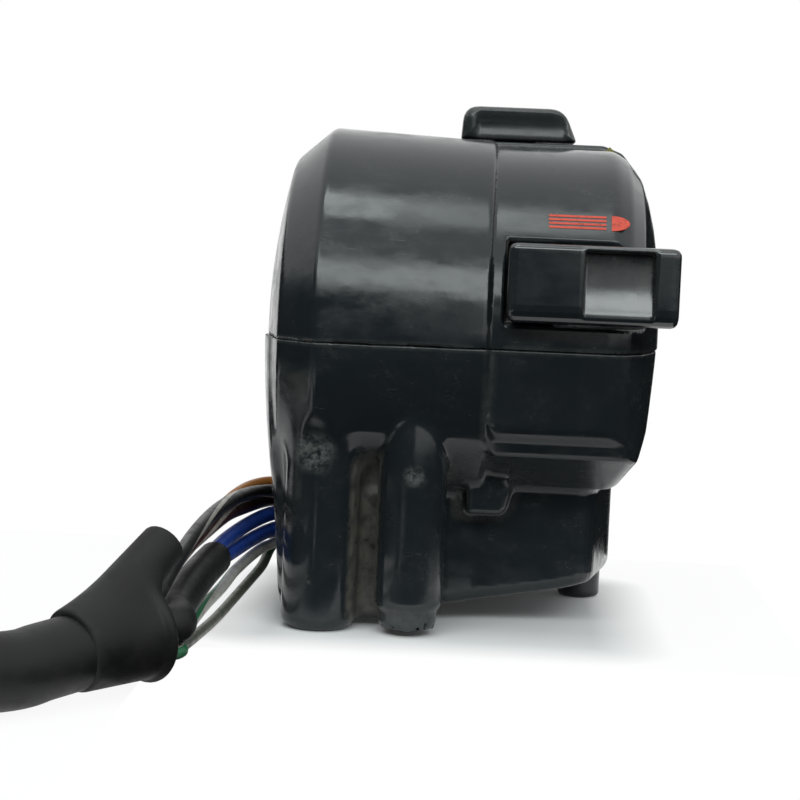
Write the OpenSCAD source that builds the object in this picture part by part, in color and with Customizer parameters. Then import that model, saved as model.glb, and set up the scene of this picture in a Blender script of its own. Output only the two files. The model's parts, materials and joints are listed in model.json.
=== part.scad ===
// Left-hand handlebar switch cluster: two moulded case halves clamped round the bar,
// a flash trigger at the front, a dimmer slider on top, a turn-signal slider and a horn
// button on the rider's side, and a wiring harness that leaves at the lower left.
// X runs along the bar towards the grip, -Y faces forwards and Z is up.
// The origin is on the bar's axis, in the parting plane of the case.

/* [Handlebar] */
// Diameter of the bar that the case clamps
bar_d = 22.2; // [21.8:0.1:22.6]

/* [Case] */
// Wall thickness of both halves
wall = 2.2; // [2:0.1:2.4]
// Gap between the halves at the parting plane
part_gap = 0.2; // [0.1:0.05:0.3]
// Radius of the left drum at its crown
crown_r = 27.9; // [27.5:0.1:28.5]
// Radius of the left drum where it meets the right drum
seam_r = 26.9; // [26.6:0.1:27.2]
// Radius of the right drum
right_r = 26.2; // [25.9:0.1:26.5]
// Place of the seam between the drums along the bar
seam_x = 3.6; // [3.2:0.1:4]
// Length of the left drum from the seam to its domed end
left_len = 30.1; // [29.8:0.1:31]
// Length of the right drum from the seam to its domed end
right_len = 22.7; // [22.5:0.1:24]
// Distance from the bar's axis to the rider's face
rear_depth = 23.5; // [23.3:0.1:25]
// Height of the dimmer's pad above the bar's axis
pad_h = 27.2; // [27:0.1:28]
// Distance from the bar's axis down to the feet
base_drop = 37.4; // [37:0.1:38.5]
// Length of the clamp collar inside each end
collar_len = 7; // [5:0.5:7]
// Wall of the clamp collar round the bar
collar_wall = 2.8; // [2:0.1:3.2]

/* [Screws] */
// Thread diameter of the case screws
screw_d = 4; // [3.5:0.1:4.2]
// Head diameter of the case screws
head_d = 5.8; // [5.4:0.1:5.9]
// Head height of the case screws
head_h = 2.6; // [2:0.1:3]
// Depth of the head's seat above the feet
seat_depth = 10; // [8:0.5:12]
// Outer diameter of the brass inserts
insert_d = 6; // [5.6:0.1:6.2]
// Length of the brass inserts
insert_len = 8; // [6:0.5:9]
// Diameter of the small screws that hold the switch bases
base_screw_d = 1.6; // [1.4:0.1:1.8]

/* [Flash trigger] */
// Diameter of the trigger's pivot pin
pivot_d = 2.4; // [2:0.1:2.6]
// Height of the trigger
trigger_h = 9.9; // [9.5:0.1:10.4]
// Length of the trigger along the bar
trigger_len = 21; // [20.5:0.1:22]
// Room between the trigger and its pocket
trigger_gap = 0.7; // [0.5:0.05:0.9]

/* [Dimmer] */
// Travel of the dimmer slider
dimmer_travel = 5; // [4:0.5:5.5]
// Width of the dimmer knob at its foot
dimmer_w = 16.4; // [15:0.1:17]
// Height of the dimmer knob above its pad
dimmer_h = 5; // [4:0.1:6]

/* [Turn signal] */
// Travel of the turn-signal slider to each side
turn_travel = 4; // [3:0.5:4.5]
// Travel of the push that cancels the signal
cancel_travel = 2; // [1.5:0.1:2.2]
// Width of the turn-signal knob
turn_w = 11; // [9:0.5:13]

/* [Horn] */
// Diameter of the horn button
horn_d = 12; // [11:0.2:13]
// Travel of the horn button
horn_travel = 2.5; // [1.5:0.1:2.6]

/* [Harness] */
// Outer diameter of the harness sheath
sheath_d = 8.4; // [8:0.1:8.6]
// Outer diameter of the rubber boot's mouth
boot_d = 10.4; // [10.2:0.1:11]
// Radius of the put-away coil at its outer turn
coil_r = 46; // [44:0.5:50]
// Turns of the put-away coil
coil_turns = 1.15; // [1:0.05:1.25]
// Length of the connector housing
connector_len = 22; // [18:0.5:24]

/* [Hidden] */
$fn = 64;
eps = 0.01;
bar_r = bar_d / 2;
left_x = seam_x - left_len;
right_x = seam_x + right_len;
base_z = -base_drop;
half_gap = part_gap / 2;
rear_in = rear_depth - wall;
pad_in = pad_h - wall;
slide_gap = 0.4;
fit_gap = 0.05;
bore_gap = 0.1;
run_gap = 0.2;
thread_depth = 4;
thread_reach = 3;
washer_t = 0.8;
slot_w = 0.9;
slot_depth = 1.2;
seam_groove_w = 0.7;
seam_groove_depth = 0.8;
collar_right = right_x - wall - collar_len;
far = 200;

// Drum ends: bulge of each dome, and the bevels that lead into it
left_bulge = 3.2;
left_bevel_r = 4.3;
left_bevel_x = 5.1;
right_bulge = 3;
right_bevel_r = 3.6;
right_bevel_x = 3.8;
dome_steps = 6;

// Rider's block behind the drums, and the dimmer's pad on it
block_left = -20.5;
block_right = 22.3;
block_top = 23.5;
block_slope = 4;
pad_left = -6;
pad_front = 6;
pad_rear = 20.5;
pad_round = 2.4;
pad_bevel = 1.2;

// Lower half: wiring box, columns and the block under the trigger
box_front = -18;
box_floor = base_z + 2.2;
box_left_top = left_x + 1.7;
box_left_low = left_x + 4.2;
box_left_in = 0.5;
box_draft_top = -12;
box_draft = (box_left_low - box_left_top) / (box_draft_top - box_floor);
box_right = -3;
box_corner_x = 2.4;
box_corner_y = 9;
skirt_edge = 7;
skirt_turn = [-25.4, -11];
skirt_foot = -17.2;
step_x = 0.9;
step_overlap = 8;
step_front = -13.6;
step_floor_left = -34.9;
step_floor_right = -32.7;
step_corner = 17.4;
step_right = 22.2;
step_corner_x = 1.4;
step_corner_y = 2.4;
step_return = 6;
step_flat = 4;
step_lift = 1;
lip_front = -right_r - 0.3;
lip_drop = 7.8;
lip_turn = 11;
lip_foot = 18.9;
lip_left = seam_x + 0.3;
lip_round = [[1, 1], [3, 0]];
grip_side = [[19.6, -21], [21.4, -18.2], [23.4, -13.9], [24.6, -10.4]];
grip_side_in = 0.3;
tab_front = -17.8;
tab_outline = [[1.6, -22.2], [1.6, -14.6], [5.6, -14.6], [7.6, -18.6], [6.6, -22.2]];
duct_at = [-17, -20.4];
duct_r = 4.85;
boss_r = 4.4;
boss_collar_r = 3.75;
boss_collar_h = 3.2;
front_screw = [-5.3, -22.2];
rear_screw = [-17, 18.4];
screw_points = [front_screw, rear_screw];
grip_foot = [18.2, 12];
grip_foot_r = 3;
post_r = 4.2;
post_h = insert_len + 3;
seat_z = base_z + seat_depth;

// Flash trigger
pivot_at = [9, -17.5];
pivot_r = pivot_d / 2;
hub_r = pivot_r + 1.5;
trigger_low = 3.6;
trigger_top = trigger_low + trigger_h;
pivot_low = trigger_low - 2.1;
pivot_high = trigger_top + 2.9;
trigger_left = 5.9;
trigger_right = trigger_left + trigger_len;
trigger_face = -right_r - 4.4;
trigger_depth = 5;
trigger_back = trigger_face + trigger_depth;
pocket_back = trigger_back + 2.5;
pocket_wall = 2;
trigger_top_round = [1.3, 1.2];
trigger_low_round = [1, 1.6];
trigger_back_round = [0.4, 0.6];
trigger_lean = 0.2;
hub_step = 0.5;
arm_len = 7.6;
arm_half = 1.1;
arm_step = 3.6;
hub_cut_gap = 0.4;
hub_seat = 1.7;
neck_left = 6.3;
neck_w = 5.4;
scoop_left = 15.2;
scoop_right = trigger_right - 2.4;
scoop_r = 7.4;
scoop_axis_y = trigger_face - 5.6;
scoop_axis_z = trigger_low + 5.1;
flash_spring_x = 19.5;
flash_spring_z = trigger_low + trigger_h / 2;
flash_cup_r = 2.6;
flash_cup_depth = 1.7;
flash_seat_depth = 1.2;
flash_spring_size = [1.9, 0.45, 4];
flash_post_r = 1.7;
flash_blade_t = 0.3;
flash_blade_gap = 0.4;
flash_blade_step = 2.8;
flash_base_low = 4.4;
flash_base_high = 13.8;
flash_base_left = pivot_at[0] + 1.4;
flash_base_right = collar_right - 0.1;
flash_base_front = -14.6;
flash_base_rear = -12.2;
flash_posts = [flash_base_left + 1.4, flash_base_right - 1.5];
flash_post_y = -13.4;

// Dimmer
dimmer_left = -1.6;
dimmer_front = 8;
dimmer_rear = 17.4;
dimmer_stem_x = 3;
dimmer_stem_w = 6;
dimmer_stem_y = 11;
dimmer_stem_d = 4;
dimmer_low = pad_in - 4.7;
dimmer_high = pad_in - slide_gap;
dimmer_plate_left = 0;
dimmer_plate_right = 12;
dimmer_plate_front = 9.2;
dimmer_plate_rear = 17.2;
dimmer_board_top = dimmer_low - 1.9;
dimmer_board_t = 1.5;
dimmer_board_left = pad_left + 2;
dimmer_board_right = block_right - wall - 0.3;
dimmer_posts = [pad_left + 3.7, block_right - wall - 1.4];
dimmer_post_y = 16.6;
dimmer_post_r = 1.4;
dimmer_ball_at = [1.6, 13];
dimmer_foot = pad_h + 0.3;
dimmer_top = pad_h + dimmer_h;
dimmer_cheek = 1.8;
dimmer_cheek_h = 1.6;
dimmer_slope = 2.4;
dimmer_scoop_r = 14;
dimmer_scoop_depth = 0.8;
dimmer_scoop_drop = 2.2;
dimmer_bridge_t = 0.9;
dimmer_pip_gap = 0.7;
dimmer_pip_r = 1;
dimmer_contact_w = 3;
contact_t = 0.4;
ball_r = 1;
ball_floor = 0.6;
ball_z = dimmer_high - ball_r + bore_gap;
ball_spring_r = 0.85;
ball_spring_wire = 0.3;

// Turn signal
turn_x = 2;
turn_z = 8;
turn_stem = 5;
turn_half = 7;
turn_plate_rear = rear_in - slide_gap;
turn_plate_front = turn_plate_rear - 4.9;
turn_board_rear = turn_plate_front - 2.1;
turn_board_t = 1.5;
turn_board_half = collar_right - 0.1 - turn_x;
turn_post_reach = 13.5;
turn_posts = [turn_x - turn_post_reach, turn_x + turn_post_reach];
turn_knob_foot = rear_depth + cancel_travel + 0.6;
turn_knob_depth = 5.4;
turn_knob_out = turn_knob_foot + turn_knob_depth;
turn_knob_h = 9;
turn_stem_end = turn_plate_front + 3.7;
turn_chamfer = 1;
turn_scoop_r = 9;
turn_scoop_depth = 1.4;
turn_plate_half_h = 6;
turn_floor = 0.7;
turn_spring_size = [1.7, 0.35, 2];
turn_post_r = 2;
turn_bridge_half = 2.6;
turn_bridge_t = 1.4;
turn_contact_half = 1.8;
turn_contact_step = 6;
turn_contact_low = 1;
turn_ball_drop = 4.3;
turn_ball_hole = 4;
turn_ball_y = turn_plate_front - 1.7 + ball_r;
turn_board_low = 7;
board_gap = 1.3;
turn_board_high = dimmer_board_top - dimmer_board_t - board_gap - turn_z;
turn_contact_high = turn_board_high - 2.2;

// Horn
horn_x = -2;
horn_z = -13;
horn_r = horn_d / 2;
horn_gap = 0.4;
horn_flange_r = horn_r + 1.2;
horn_flange_rear = rear_in - slide_gap;
horn_flange_t = 1.9;
horn_base_rear = horn_flange_rear - horn_flange_t - horn_travel - 2.2;
horn_base_t = 1.5;
horn_out = rear_depth + 5;
horn_stem_r = 1.8;
horn_post_reach = 9;
horn_posts = [horn_x - horn_post_reach, horn_x + horn_post_reach];
horn_clip_gap = 0.3;
horn_clip_t = 0.6;
horn_clip_r = 3.2;
horn_clip_slot = 2;
horn_clip_front = horn_base_rear - horn_base_t - horn_clip_gap - horn_clip_t;
horn_neck_r = horn_stem_r - 0.5;
horn_tip = 0.6;
horn_crown = 1.4;
horn_dish = 0.9;
horn_post_r = 1.8;
horn_spring_size = [3.2, 0.6, 2.5];
horn_bridge_t = 0.8;
horn_bridge_r = horn_flange_r - 0.4;
horn_bridge_hole = 4.4;
horn_base_half = 11;
horn_base_half_h = 7;
horn_contact_x = 5.4;
horn_contact_r = 1;
horn_contact_h = 1.2;
small_head_h = 0.9;
small_head_r = base_screw_d * 0.85;

// Wire outlet in the left wall, and the terminal block behind it
outlet_y = 3.6;
outlet_z = -26.1;
outlet_w = 9;
outlet_h = 11;
outlet_flange = 1.4;
outlet_rim = 0.8;
outlet_x = box_left_top + (box_draft_top - outlet_z) * box_draft;
terminal_left = -12;
wire_start = terminal_left - 0.1;
terminal_right = -4;
terminal_front = -2.5;
terminal_rear = 9;
terminal_top = -20.6;
terminal_screws = [for (y = [terminal_front + 2, terminal_rear - 2]) [terminal_right - 4, y]];
straight_end = -26;
wire_room = 0.15;

// Harness: the boot's mouth and tail, and the places of the wires inside it
mouth = [-32.6, -60, -31];
tail = [-39.6, -68.4, -32.1];
boot_axis = unit(tail - mouth);
boot_side = unit(cross(boot_axis, [0, 0, 1]));
boot_up = cross(boot_side, boot_axis);
boot_len = norm(tail - mouth);
boot_bore_r = boot_d / 2 - 0.7;
boot_bore_len = 8;
finger_tip = [-31.8, -55.6, -21.6];
finger_root = [-38.4, -66.6, -30.4];
finger_tip_r = 2.6;
finger_root_r = 3.3;
finger_bore_r = 1.9;
finger_bore_len = 7;
cord_z = base_z + 0.7 + sheath_d / 2;
coil_at = [-108, -50];
coil_pitch = sheath_d + 0.8;
coil_start = -90;
coil_loop_rings = 24;
tail_r = 22;
tail_turn = 85;
bend_steps = 6;
tie_turn = 27;
tie_angle = coil_start - tie_turn;
tie_mid_r = coil_r - coil_pitch * (tie_turn / 360 + 0.5);
tie_t = 0.6;
tie_w = 5;
connector_w = 12;
connector_h = 8.4;
connector_wall = 1.2;
connector_depth = 8;
pin_size = [6, 1.6, 0.7];
pin_rows = [-3.2, 0, 3.2];
pin_levels = [-1.5, 1.5];
sleeve_d = 4.4;
sleeve_seat = [-1.8, 0.6];

// Each wire: diameter, place in the boot as [side, up], and its route by hand
wire_black_d = 1.8;
wire_black_seat = [2.2, 2.6];
wire_black_route = [[wire_start, 1.8, -23], [-24.4, 1.8, -23], [-26.8, 0.6, -22.9], [-28.4, -5, -22.6],
    [-29.6, -14, -22.4], [-30.6, -26, -22.7], [-31.2, -38, -23.6], [-31.6, -49, -25.2]];
wire_brown_d = 1.8;
wire_brown_seat = [3.4, 0.8];
wire_brown_route = [[wire_start, 4.2, -24.6], [-24.2, 4.2, -24.6], [-26.8, 3, -24.6], [-28.9, -4.5, -24.6],
    [-30.2, -14, -24.4], [-31.1, -26, -24.7], [-32.2, -38, -25.4], [-33.8, -49, -26.6]];
wire_orange_d = 1.6;
wire_orange_seat = [2.6, -1.9];
wire_orange_route = [[wire_start, 5.2, -22.2], [-24.4, 5.2, -22.2], [-27.4, 4.2, -22.2], [-29.8, 0, -22.8],
    [-31.6, -6, -24.2], [-33, -12, -26.4], [-34.2, -22, -28.2], [-34.6, -34, -29.2], [-34.6, -48, -30.2]];
wire_green_d = 1.5;
wire_green_seat = [-2.4, -2.4];
wire_green_route = [[wire_start, 2.6, -30.3], [-23.6, 2.6, -30.3], [-26, 1, -30.6], [-27.2, -3.5, -30.9],
    [-28.9, -12.5, -32], [-29.7, -20, -33], [-30.5, -31, -33.5], [-30.8, -44, -33.8], [-30.8, -53, -33.6]];
wire_grey_d = 1.4;
wire_grey_seat = [0, -3.5];
wire_grey_route = [[wire_start, 4.9, -29.6], [-24, 4.9, -29.6], [-25.8, 3.6, -31.2], [-26.6, -0.4, -33.2],
    [-27.6, -5, -34.4], [-28.8, -12.5, -35.6], [-29.8, -22, -36.4], [-30.4, -31, -36.4], [-31.2, -44, -36],
    [-31.6, -53, -35.2]];
wire_blue_d = 2;
wire_blue_gap = 1.1;
sleeve_top = [-30.3, -24, -28.6];
sleeve_route = [sleeve_top, [-30.8, -33, -29], [-31, -42, -29.5], [-30.9, -52, -30.2]];
wire_blue_upper_route = [[wire_start, 2.2, -26.2], [-24, 2.2, -26.2], [-26.2, 1.2, -26.3], [-28.3, -5.5, -26.8],
    [-29.6, -14, -27.2]];
wire_blue_lower_route = [[wire_start, 2.2, -28.3], [-23.8, 2.2, -28.3], [-25.9, 1.2, -28.5], [-27.7, -5, -28.9],
    [-29.2, -13, -29.3]];
sheath_lead = 4;
sheath_route = [tail, tail + sheath_lead * boot_axis, tail + 2 * sheath_lead * boot_axis, [-51, -80.5, cord_z],
    [-60, -87, cord_z], [-71, -92.8, cord_z]];

// Vectors and routes
function unit(v) = v / norm(v);
function span_point(a, b, c, d, t) = 0.5 * (2 * b + (c - a) * t + (2 * a - 5 * b + 4 * c - d) * t * t
    + (3 * b - a - 3 * c + d) * t * t * t);
function smooth(p, per) = concat([for (i = [0 : len(p) - 2], k = [0 : per - 1])
    span_point(p[max(i - 1, 0)], p[i], p[i + 1], p[min(i + 2, len(p) - 1)], k / per)], [p[len(p) - 1]]);
function heading(p, i) = unit(p[min(i + 1, len(p) - 1)] - p[max(i - 1, 0)]);
function across(v, t) = unit(v - (v * t) * t);
function sides_at(p, i, v, found) = i >= len(p) ? found
    : let (n = across(v, heading(p, i))) sides_at(p, i + 1, n, concat(found, [n]));
function ring_point(c, n, t, r, a) = c + r * (cos(a) * n + sin(a) * cross(t, n));
function in_boot(seat, depth) = mouth + depth * boot_axis + seat[0] * boot_side + seat[1] * boot_up;
function wire_path(route, seat) = smooth(concat(route, [in_boot(seat, -2.5), in_boot(seat, 1),
    in_boot(seat, boot_bore_len - 0.4)]), 2);

// Round tube of straight facets along a list of points
module tube(p, r, sides) {
    n = sides_at(p, 0, abs(heading(p, 0)[2]) > 0.9 ? [1, 0, 0] : [0, 0, 1], []);
    points = [for (i = [0 : len(p) - 1], k = [0 : sides - 1])
        ring_point(p[i], n[i], heading(p, i), r, 360 * k / sides)];
    last = (len(p) - 1) * sides;
    skin = [for (i = [0 : len(p) - 2], k = [0 : sides - 1])
        let (a = i * sides + k, b = i * sides + (k + 1) % sides)
        each [[a, a + sides, b], [b, a + sides, b + sides]]];
    caps = [for (k = [1 : sides - 2]) each [[0, k, k + 1], [last, last + k + 1, last + k]]];
    polyhedron(points, concat(skin, caps));
}

// Coil spring along +Z from the origin, one unbroken wire: size is mean radius, wire diameter and turns
module spring(size, length) {
    mean_r = size[0];
    wire_d = size[1];
    turns = size[2];
    rise = (length - wire_d) / turns;
    rings = ceil(turns * 8);
    p = [for (i = [0 : rings]) let (t = i * turns / rings)
        [mean_r * cos(360 * t), mean_r * sin(360 * t), wire_d / 2 + rise * t]];
    echo(spring_gap = rise - wire_d);
    tube(p, wire_d / 2, 6);
}

// Helpers for plain shapes
module box(low, high) {
    translate(low) cube(high - low);
}
module along_x() {
    rotate([0, 90, 0]) children();
}
module rod_x(r, x0, x1, y, z) {
    translate([x0, y, z]) along_x() cylinder(r = r, h = x1 - x0);
}
module rod_y(r, y0, y1, x, z) {
    translate([x, y0, z]) rotate([-90, 0, 0]) cylinder(r = r, h = y1 - y0);
}
module rod_z(r, z0, z1, at) {
    translate([at[0], at[1], z0]) cylinder(r = r, h = z1 - z0);
}
module side_prism(outline, x0, x1) {
    translate([x0, 0, 0]) rotate([90, 0, 90]) linear_extrude(x1 - x0) polygon(outline);
}
module front_prism(outline, y0, y1) {
    translate([0, y1, 0]) rotate([90, 0, 0]) linear_extrude(y1 - y0) polygon(outline);
}
module oblong(w, h, t) {
    linear_extrude(t) union() {
        square([w, h - w], center = true);
        translate([0, (h - w) / 2]) circle(d = w);
        translate([0, (w - h) / 2]) circle(d = w);
    }
}
// Turns local Z to a given direction from a given point
module aim(from, to) {
    d = to - from;
    translate(from) rotate([0, acos(d[2] / norm(d)), atan2(d[1], d[0])]) children();
}

// Case: the two drums, as solids drawn in by a given depth
module left_drum(inset) {
    dome_r = crown_r - left_bevel_r;
    along_x() rotate_extrude() polygon(concat(
        [for (i = [0 : dome_steps]) let (r = dome_r * i / dome_steps)
            [max(r - inset * i / dome_steps, 0), left_x + inset + left_bulge * pow(r / dome_r, 2)]],
        [[crown_r - inset, left_x + left_bulge + left_bevel_x + inset / 2],
         [seam_r - inset, seam_x], [0, seam_x]]));
}
module right_drum(inset) {
    dome_r = right_r - right_bevel_r;
    along_x() rotate_extrude() polygon(concat(
        [[0, seam_x - eps], [right_r - inset, seam_x - eps],
         [right_r - inset, right_x - right_bulge - right_bevel_x - inset / 2],
         [right_r - right_bevel_r / 3 - inset, right_x - right_bulge - right_bevel_x / 2 - inset / 2]],
        [for (i = [dome_steps : -1 : 0]) let (r = dome_r * i / dome_steps)
            [max(r - inset * i / dome_steps, 0), right_x - inset - right_bulge * pow(r / dome_r, 3)]]));
}
module drums(inset) {
    intersection() {
        union() {
            left_drum(inset);
            right_drum(inset);
        }
        box([-far, -far, -far], [far, rear_depth - inset, far]);
    }
}
// Rider's block, drawn in by a given depth
module rider_block(inset) {
    rear = rear_depth - inset;
    top = block_top - inset;
    side_prism([[0, -eps], [rear, -eps], [rear, block_top - block_slope - inset / 2],
        [rear - block_slope / 2, top], [0, top]], block_left + inset, block_right - inset);
}
module dimmer_pad(inset) {
    left = pad_left + inset;
    right = block_right - inset;
    top = pad_h - inset;
    front_prism([[left, 0], [left, top - pad_bevel], [left + pad_bevel, top], [right - pad_round * 1.6, top],
        [right - pad_round / 2, top - 1], [right, top - pad_round], [right, 0]],
        pad_front + inset, pad_rear - inset);
}
module collars() {
    rod_x(bar_r + collar_wall, left_x + wall / 2, left_x + wall + collar_len, 0, 0);
    rod_x(bar_r + collar_wall, collar_right, right_x - wall / 2, 0, 0);
}
module bar_space() {
    rod_x(bar_r, left_x - 5, right_x + 5, 0, 0);
}
module upper_outside() {
    drums(0);
    rider_block(0);
    dimmer_pad(0);
}
module upper_hollow() {
    difference() {
        union() {
            drums(wall);
            rider_block(wall);
            dimmer_pad(wall);
        }
        collars();
        for (at = screw_points) rod_z(post_r, -1, post_h, at);
        flash_mounts();
        for (x = turn_posts) rod_y(turn_post_r, turn_board_rear, rear_depth, x, turn_z);
        for (x = dimmer_posts) rod_z(dimmer_post_r, dimmer_board_top, pad_h, [x, dimmer_post_y]);
    }
}
// Walls inside the upper half that carry the trigger and its contacts
module flash_mounts() {
    box([seam_x, pocket_back, -1], [right_x, pocket_back + pocket_wall, trigger_top + 1]);
    rod_z(hub_r, -1, pivot_low + hub_seat, pivot_at);
    box([seam_x, pocket_back, -1], [pivot_at[0] + hub_r + 1, pivot_at[1] + hub_r, pivot_low + hub_seat - 1]);
    rod_z(hub_r, trigger_top + hub_cut_gap, far, pivot_at);
    for (x = flash_posts) rod_z(flash_post_r, flash_base_high, far, [x, flash_post_y]);
}
module flash_cuts() {
    box([trigger_left - trigger_gap, -far, trigger_low - trigger_gap],
        [far, pocket_back, trigger_top + trigger_gap]);
    box([trigger_left - trigger_gap / 2, -far, trigger_low - hub_cut_gap + bore_gap],
        [neck_left + neck_w + 1.8, pivot_at[1] - 1, trigger_top + hub_cut_gap]);
    rod_z(pivot_r + fit_gap / 2, pivot_low, pivot_high, pivot_at);
    rod_y(flash_cup_r, pocket_back - 1, pocket_back + flash_seat_depth, flash_spring_x, flash_spring_z);
    for (x = flash_posts)
        rod_z(base_screw_d / 2, flash_base_high - 1, flash_base_high + thread_depth, [x, flash_post_y]);
}
module upper_case() color("#1b1e20") {
    difference() {
        upper_outside();
        upper_hollow();
        bar_space();
        box([-far, -far, -far], [far, far, half_gap]);
        along_x() rotate_extrude() translate([right_r - seam_groove_depth, seam_x]) square([4, seam_groove_w]);
        flash_cuts();
        for (at = screw_points) {
            rod_z(insert_d / 2, -1, insert_len + half_gap, at);
            rod_z(screw_d / 2 + run_gap, -1, insert_len + 2, at);
        }
        turn_slot();
        for (x = turn_posts)
            rod_y(base_screw_d / 2, turn_board_rear - 1, turn_board_rear + thread_depth, x, turn_z);
        box([dimmer_stem_x - slide_gap, dimmer_stem_y - slide_gap, pad_in - 1],
            [dimmer_stem_x + dimmer_stem_w + dimmer_travel + slide_gap,
             dimmer_stem_y + dimmer_stem_d + slide_gap, pad_h + 1]);
        for (x = dimmer_posts)
            rod_z(base_screw_d / 2, dimmer_board_top - 1, dimmer_board_top + thread_depth, [x, dimmer_post_y]);
    }
}
// Slot in the rider's face that the turn signal's stem runs in
module turn_slot() {
    half_h = turn_stem / 2 + slide_gap;
    half_w = half_h + turn_travel;
    box([turn_x - half_w, rear_in - 1, turn_z - half_h], [turn_x + half_w, rear_depth + 1, turn_z + half_h]);
}

// Lower half: the left drum's skirt, which turns back to the web of the wiring box
module left_skirt(inset) {
    intersection() {
        left_drum(inset);
        side_prism([[-far, 0], [-far, -skirt_edge], [skirt_turn[0] + inset / 2, skirt_turn[1] + inset / 2],
            [box_front + inset / 2, skirt_foot + inset], [rear_depth - inset, skirt_foot + inset],
            [rear_depth - inset, 0]], -far, far);
    }
}
module wiring_box(inset) {
    intersection() {
        front_prism([[box_left_top + inset, box_draft_top],
            [box_left_low + inset * (1 - box_draft), box_floor + inset],
            [box_right, box_floor + inset], [box_right, 0], [left_x + box_left_in + inset, 0]],
            box_front + inset, rear_depth - inset);
        translate([0, 0, -base_drop]) linear_extrude(base_drop) polygon([
            [left_x + inset, box_front + box_corner_y], [left_x + box_corner_x + inset, box_front],
            [box_right, box_front], [box_right, rear_depth], [left_x + 2 * box_corner_x + inset, rear_depth],
            [left_x + inset, rear_depth - box_corner_y - inset]]);
    }
}
module step_box(inset) {
    left = step_x - step_overlap;
    right = step_right - inset;
    front = step_front + inset;
    low_left = step_floor_left + inset;
    low_right = step_floor_right + inset;
    intersection() {
        translate([0, 0, -base_drop]) linear_extrude(base_drop) polygon([[left, front + step_return],
            [step_x - inset / 2, front + step_return], [step_x + inset, front],
            [step_corner - inset / 2, front],
            [step_corner + step_corner_x - inset, step_front + step_corner_y + inset / 2],
            [right, step_flat], [right, rear_depth - inset], [left, rear_depth - inset]]);
        front_prism([[left, 0], [left, low_left], [step_x, low_left], [step_corner - step_flat, low_right],
            [step_corner, low_right + step_lift], [step_right, low_right + step_lift], [step_right, 0]],
            -far, far);
    }
}
module trigger_block(inset) {
    dome_r = right_r - right_bevel_r;
    front = lip_front + inset;
    intersection() {
        side_prism([[front, 0], [front, -lip_drop], [front + lip_round[0][0], lip_round[0][1] - lip_turn],
            [front + lip_round[1][0], inset / 2 - lip_turn], [step_front, inset - lip_foot],
            [rear_depth - inset, inset - lip_foot], [rear_depth - inset, 0]], lip_left + inset, right_x);
        front_prism(concat([[seam_x, 0], [seam_x, -base_drop]], [for (p = grip_side) p - [inset, 0]],
            [[right_x - grip_side_in - inset, 0]]), -far, far);
        translate([0, 0, -base_drop]) linear_extrude(base_drop) polygon(concat(
            [[seam_x, rear_depth], [seam_x, lip_front],
             [right_x - right_bulge - right_bevel_x - inset, lip_front]],
            [for (i = [dome_steps : -1 : 0]) let (r = dome_r * i / dome_steps)
                [right_x - inset - right_bulge * pow(r / dome_r, 3), -r]],
            [[right_x - inset, rear_depth]]));
    }
}
module wire_duct(inset) {
    rod_z(duct_r - inset, base_z + inset, 0, duct_at);
    box([duct_at[0] - duct_r + inset, duct_at[1], box_floor + inset],
        [duct_at[0] + duct_r - inset, 0, 0]);
}
module screw_boss(at) {
    rod_z(boss_r, base_z + boss_collar_h, 0, at);
    rod_z(boss_collar_r, base_z, 0, at);
}
// Tab that stands proud of the wiring box beside the front boss
module front_tab() {
    front_prism(tab_outline, tab_front, step_front + 1);
}
module lower_outside() {
    left_skirt(0);
    wiring_box(0);
    step_box(0);
    trigger_block(0);
    wire_duct(0);
    front_tab();
    intersection() {
        rider_block(0);
        box([-far, -far, -1], [far, far, 0]);
    }
    for (at = screw_points) screw_boss(at);
    rod_z(grip_foot_r, base_z, step_floor_right + wall, grip_foot);
}
module lower_hollow() {
    difference() {
        union() {
            left_skirt(wall);
            wiring_box(wall);
            step_box(wall);
            trigger_block(wall);
            wire_duct(wall);
        }
        collars();
        for (at = screw_points) rod_z(boss_r, -far, 1, at);
        for (x = horn_posts) rod_y(horn_post_r, horn_base_rear, rear_depth, x, horn_z);
        rod_z(grip_foot_r, base_z, step_floor_right + wall, grip_foot);
    }
}
module lower_case() color("#15181a") {
    difference() {
        lower_outside();
        lower_hollow();
        bar_space();
        box([-far, -far, -half_gap], [far, far, far]);
        for (at = screw_points) {
            rod_z(screw_d / 2 + run_gap, -far, 1, at);
            rod_z(head_d / 2 + run_gap, -far, seat_z, at);
        }
        rod_y(horn_r + horn_gap, rear_in - 1, rear_depth + 1, horn_x, horn_z);
        for (x = horn_posts)
            rod_y(base_screw_d / 2, horn_base_rear - 1, horn_base_rear + thread_depth, x, horn_z);
        outlet_frame() translate([0, 0, -3 * wall]) oblong(outlet_w, outlet_h, 6 * wall);
        for (at = terminal_screws) rod_z(base_screw_d / 2, box_floor + 0.6, box_floor + wall + 1, at);
    }
}
// Local frame of the wire outlet: Z out through the left wall, X along the bike, Y up the wall
module outlet_frame() {
    translate([outlet_x, outlet_y, outlet_z]) rotate([0, -atan(box_draft), 0]) rotate([90, 0, -90]) children();
}

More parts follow.
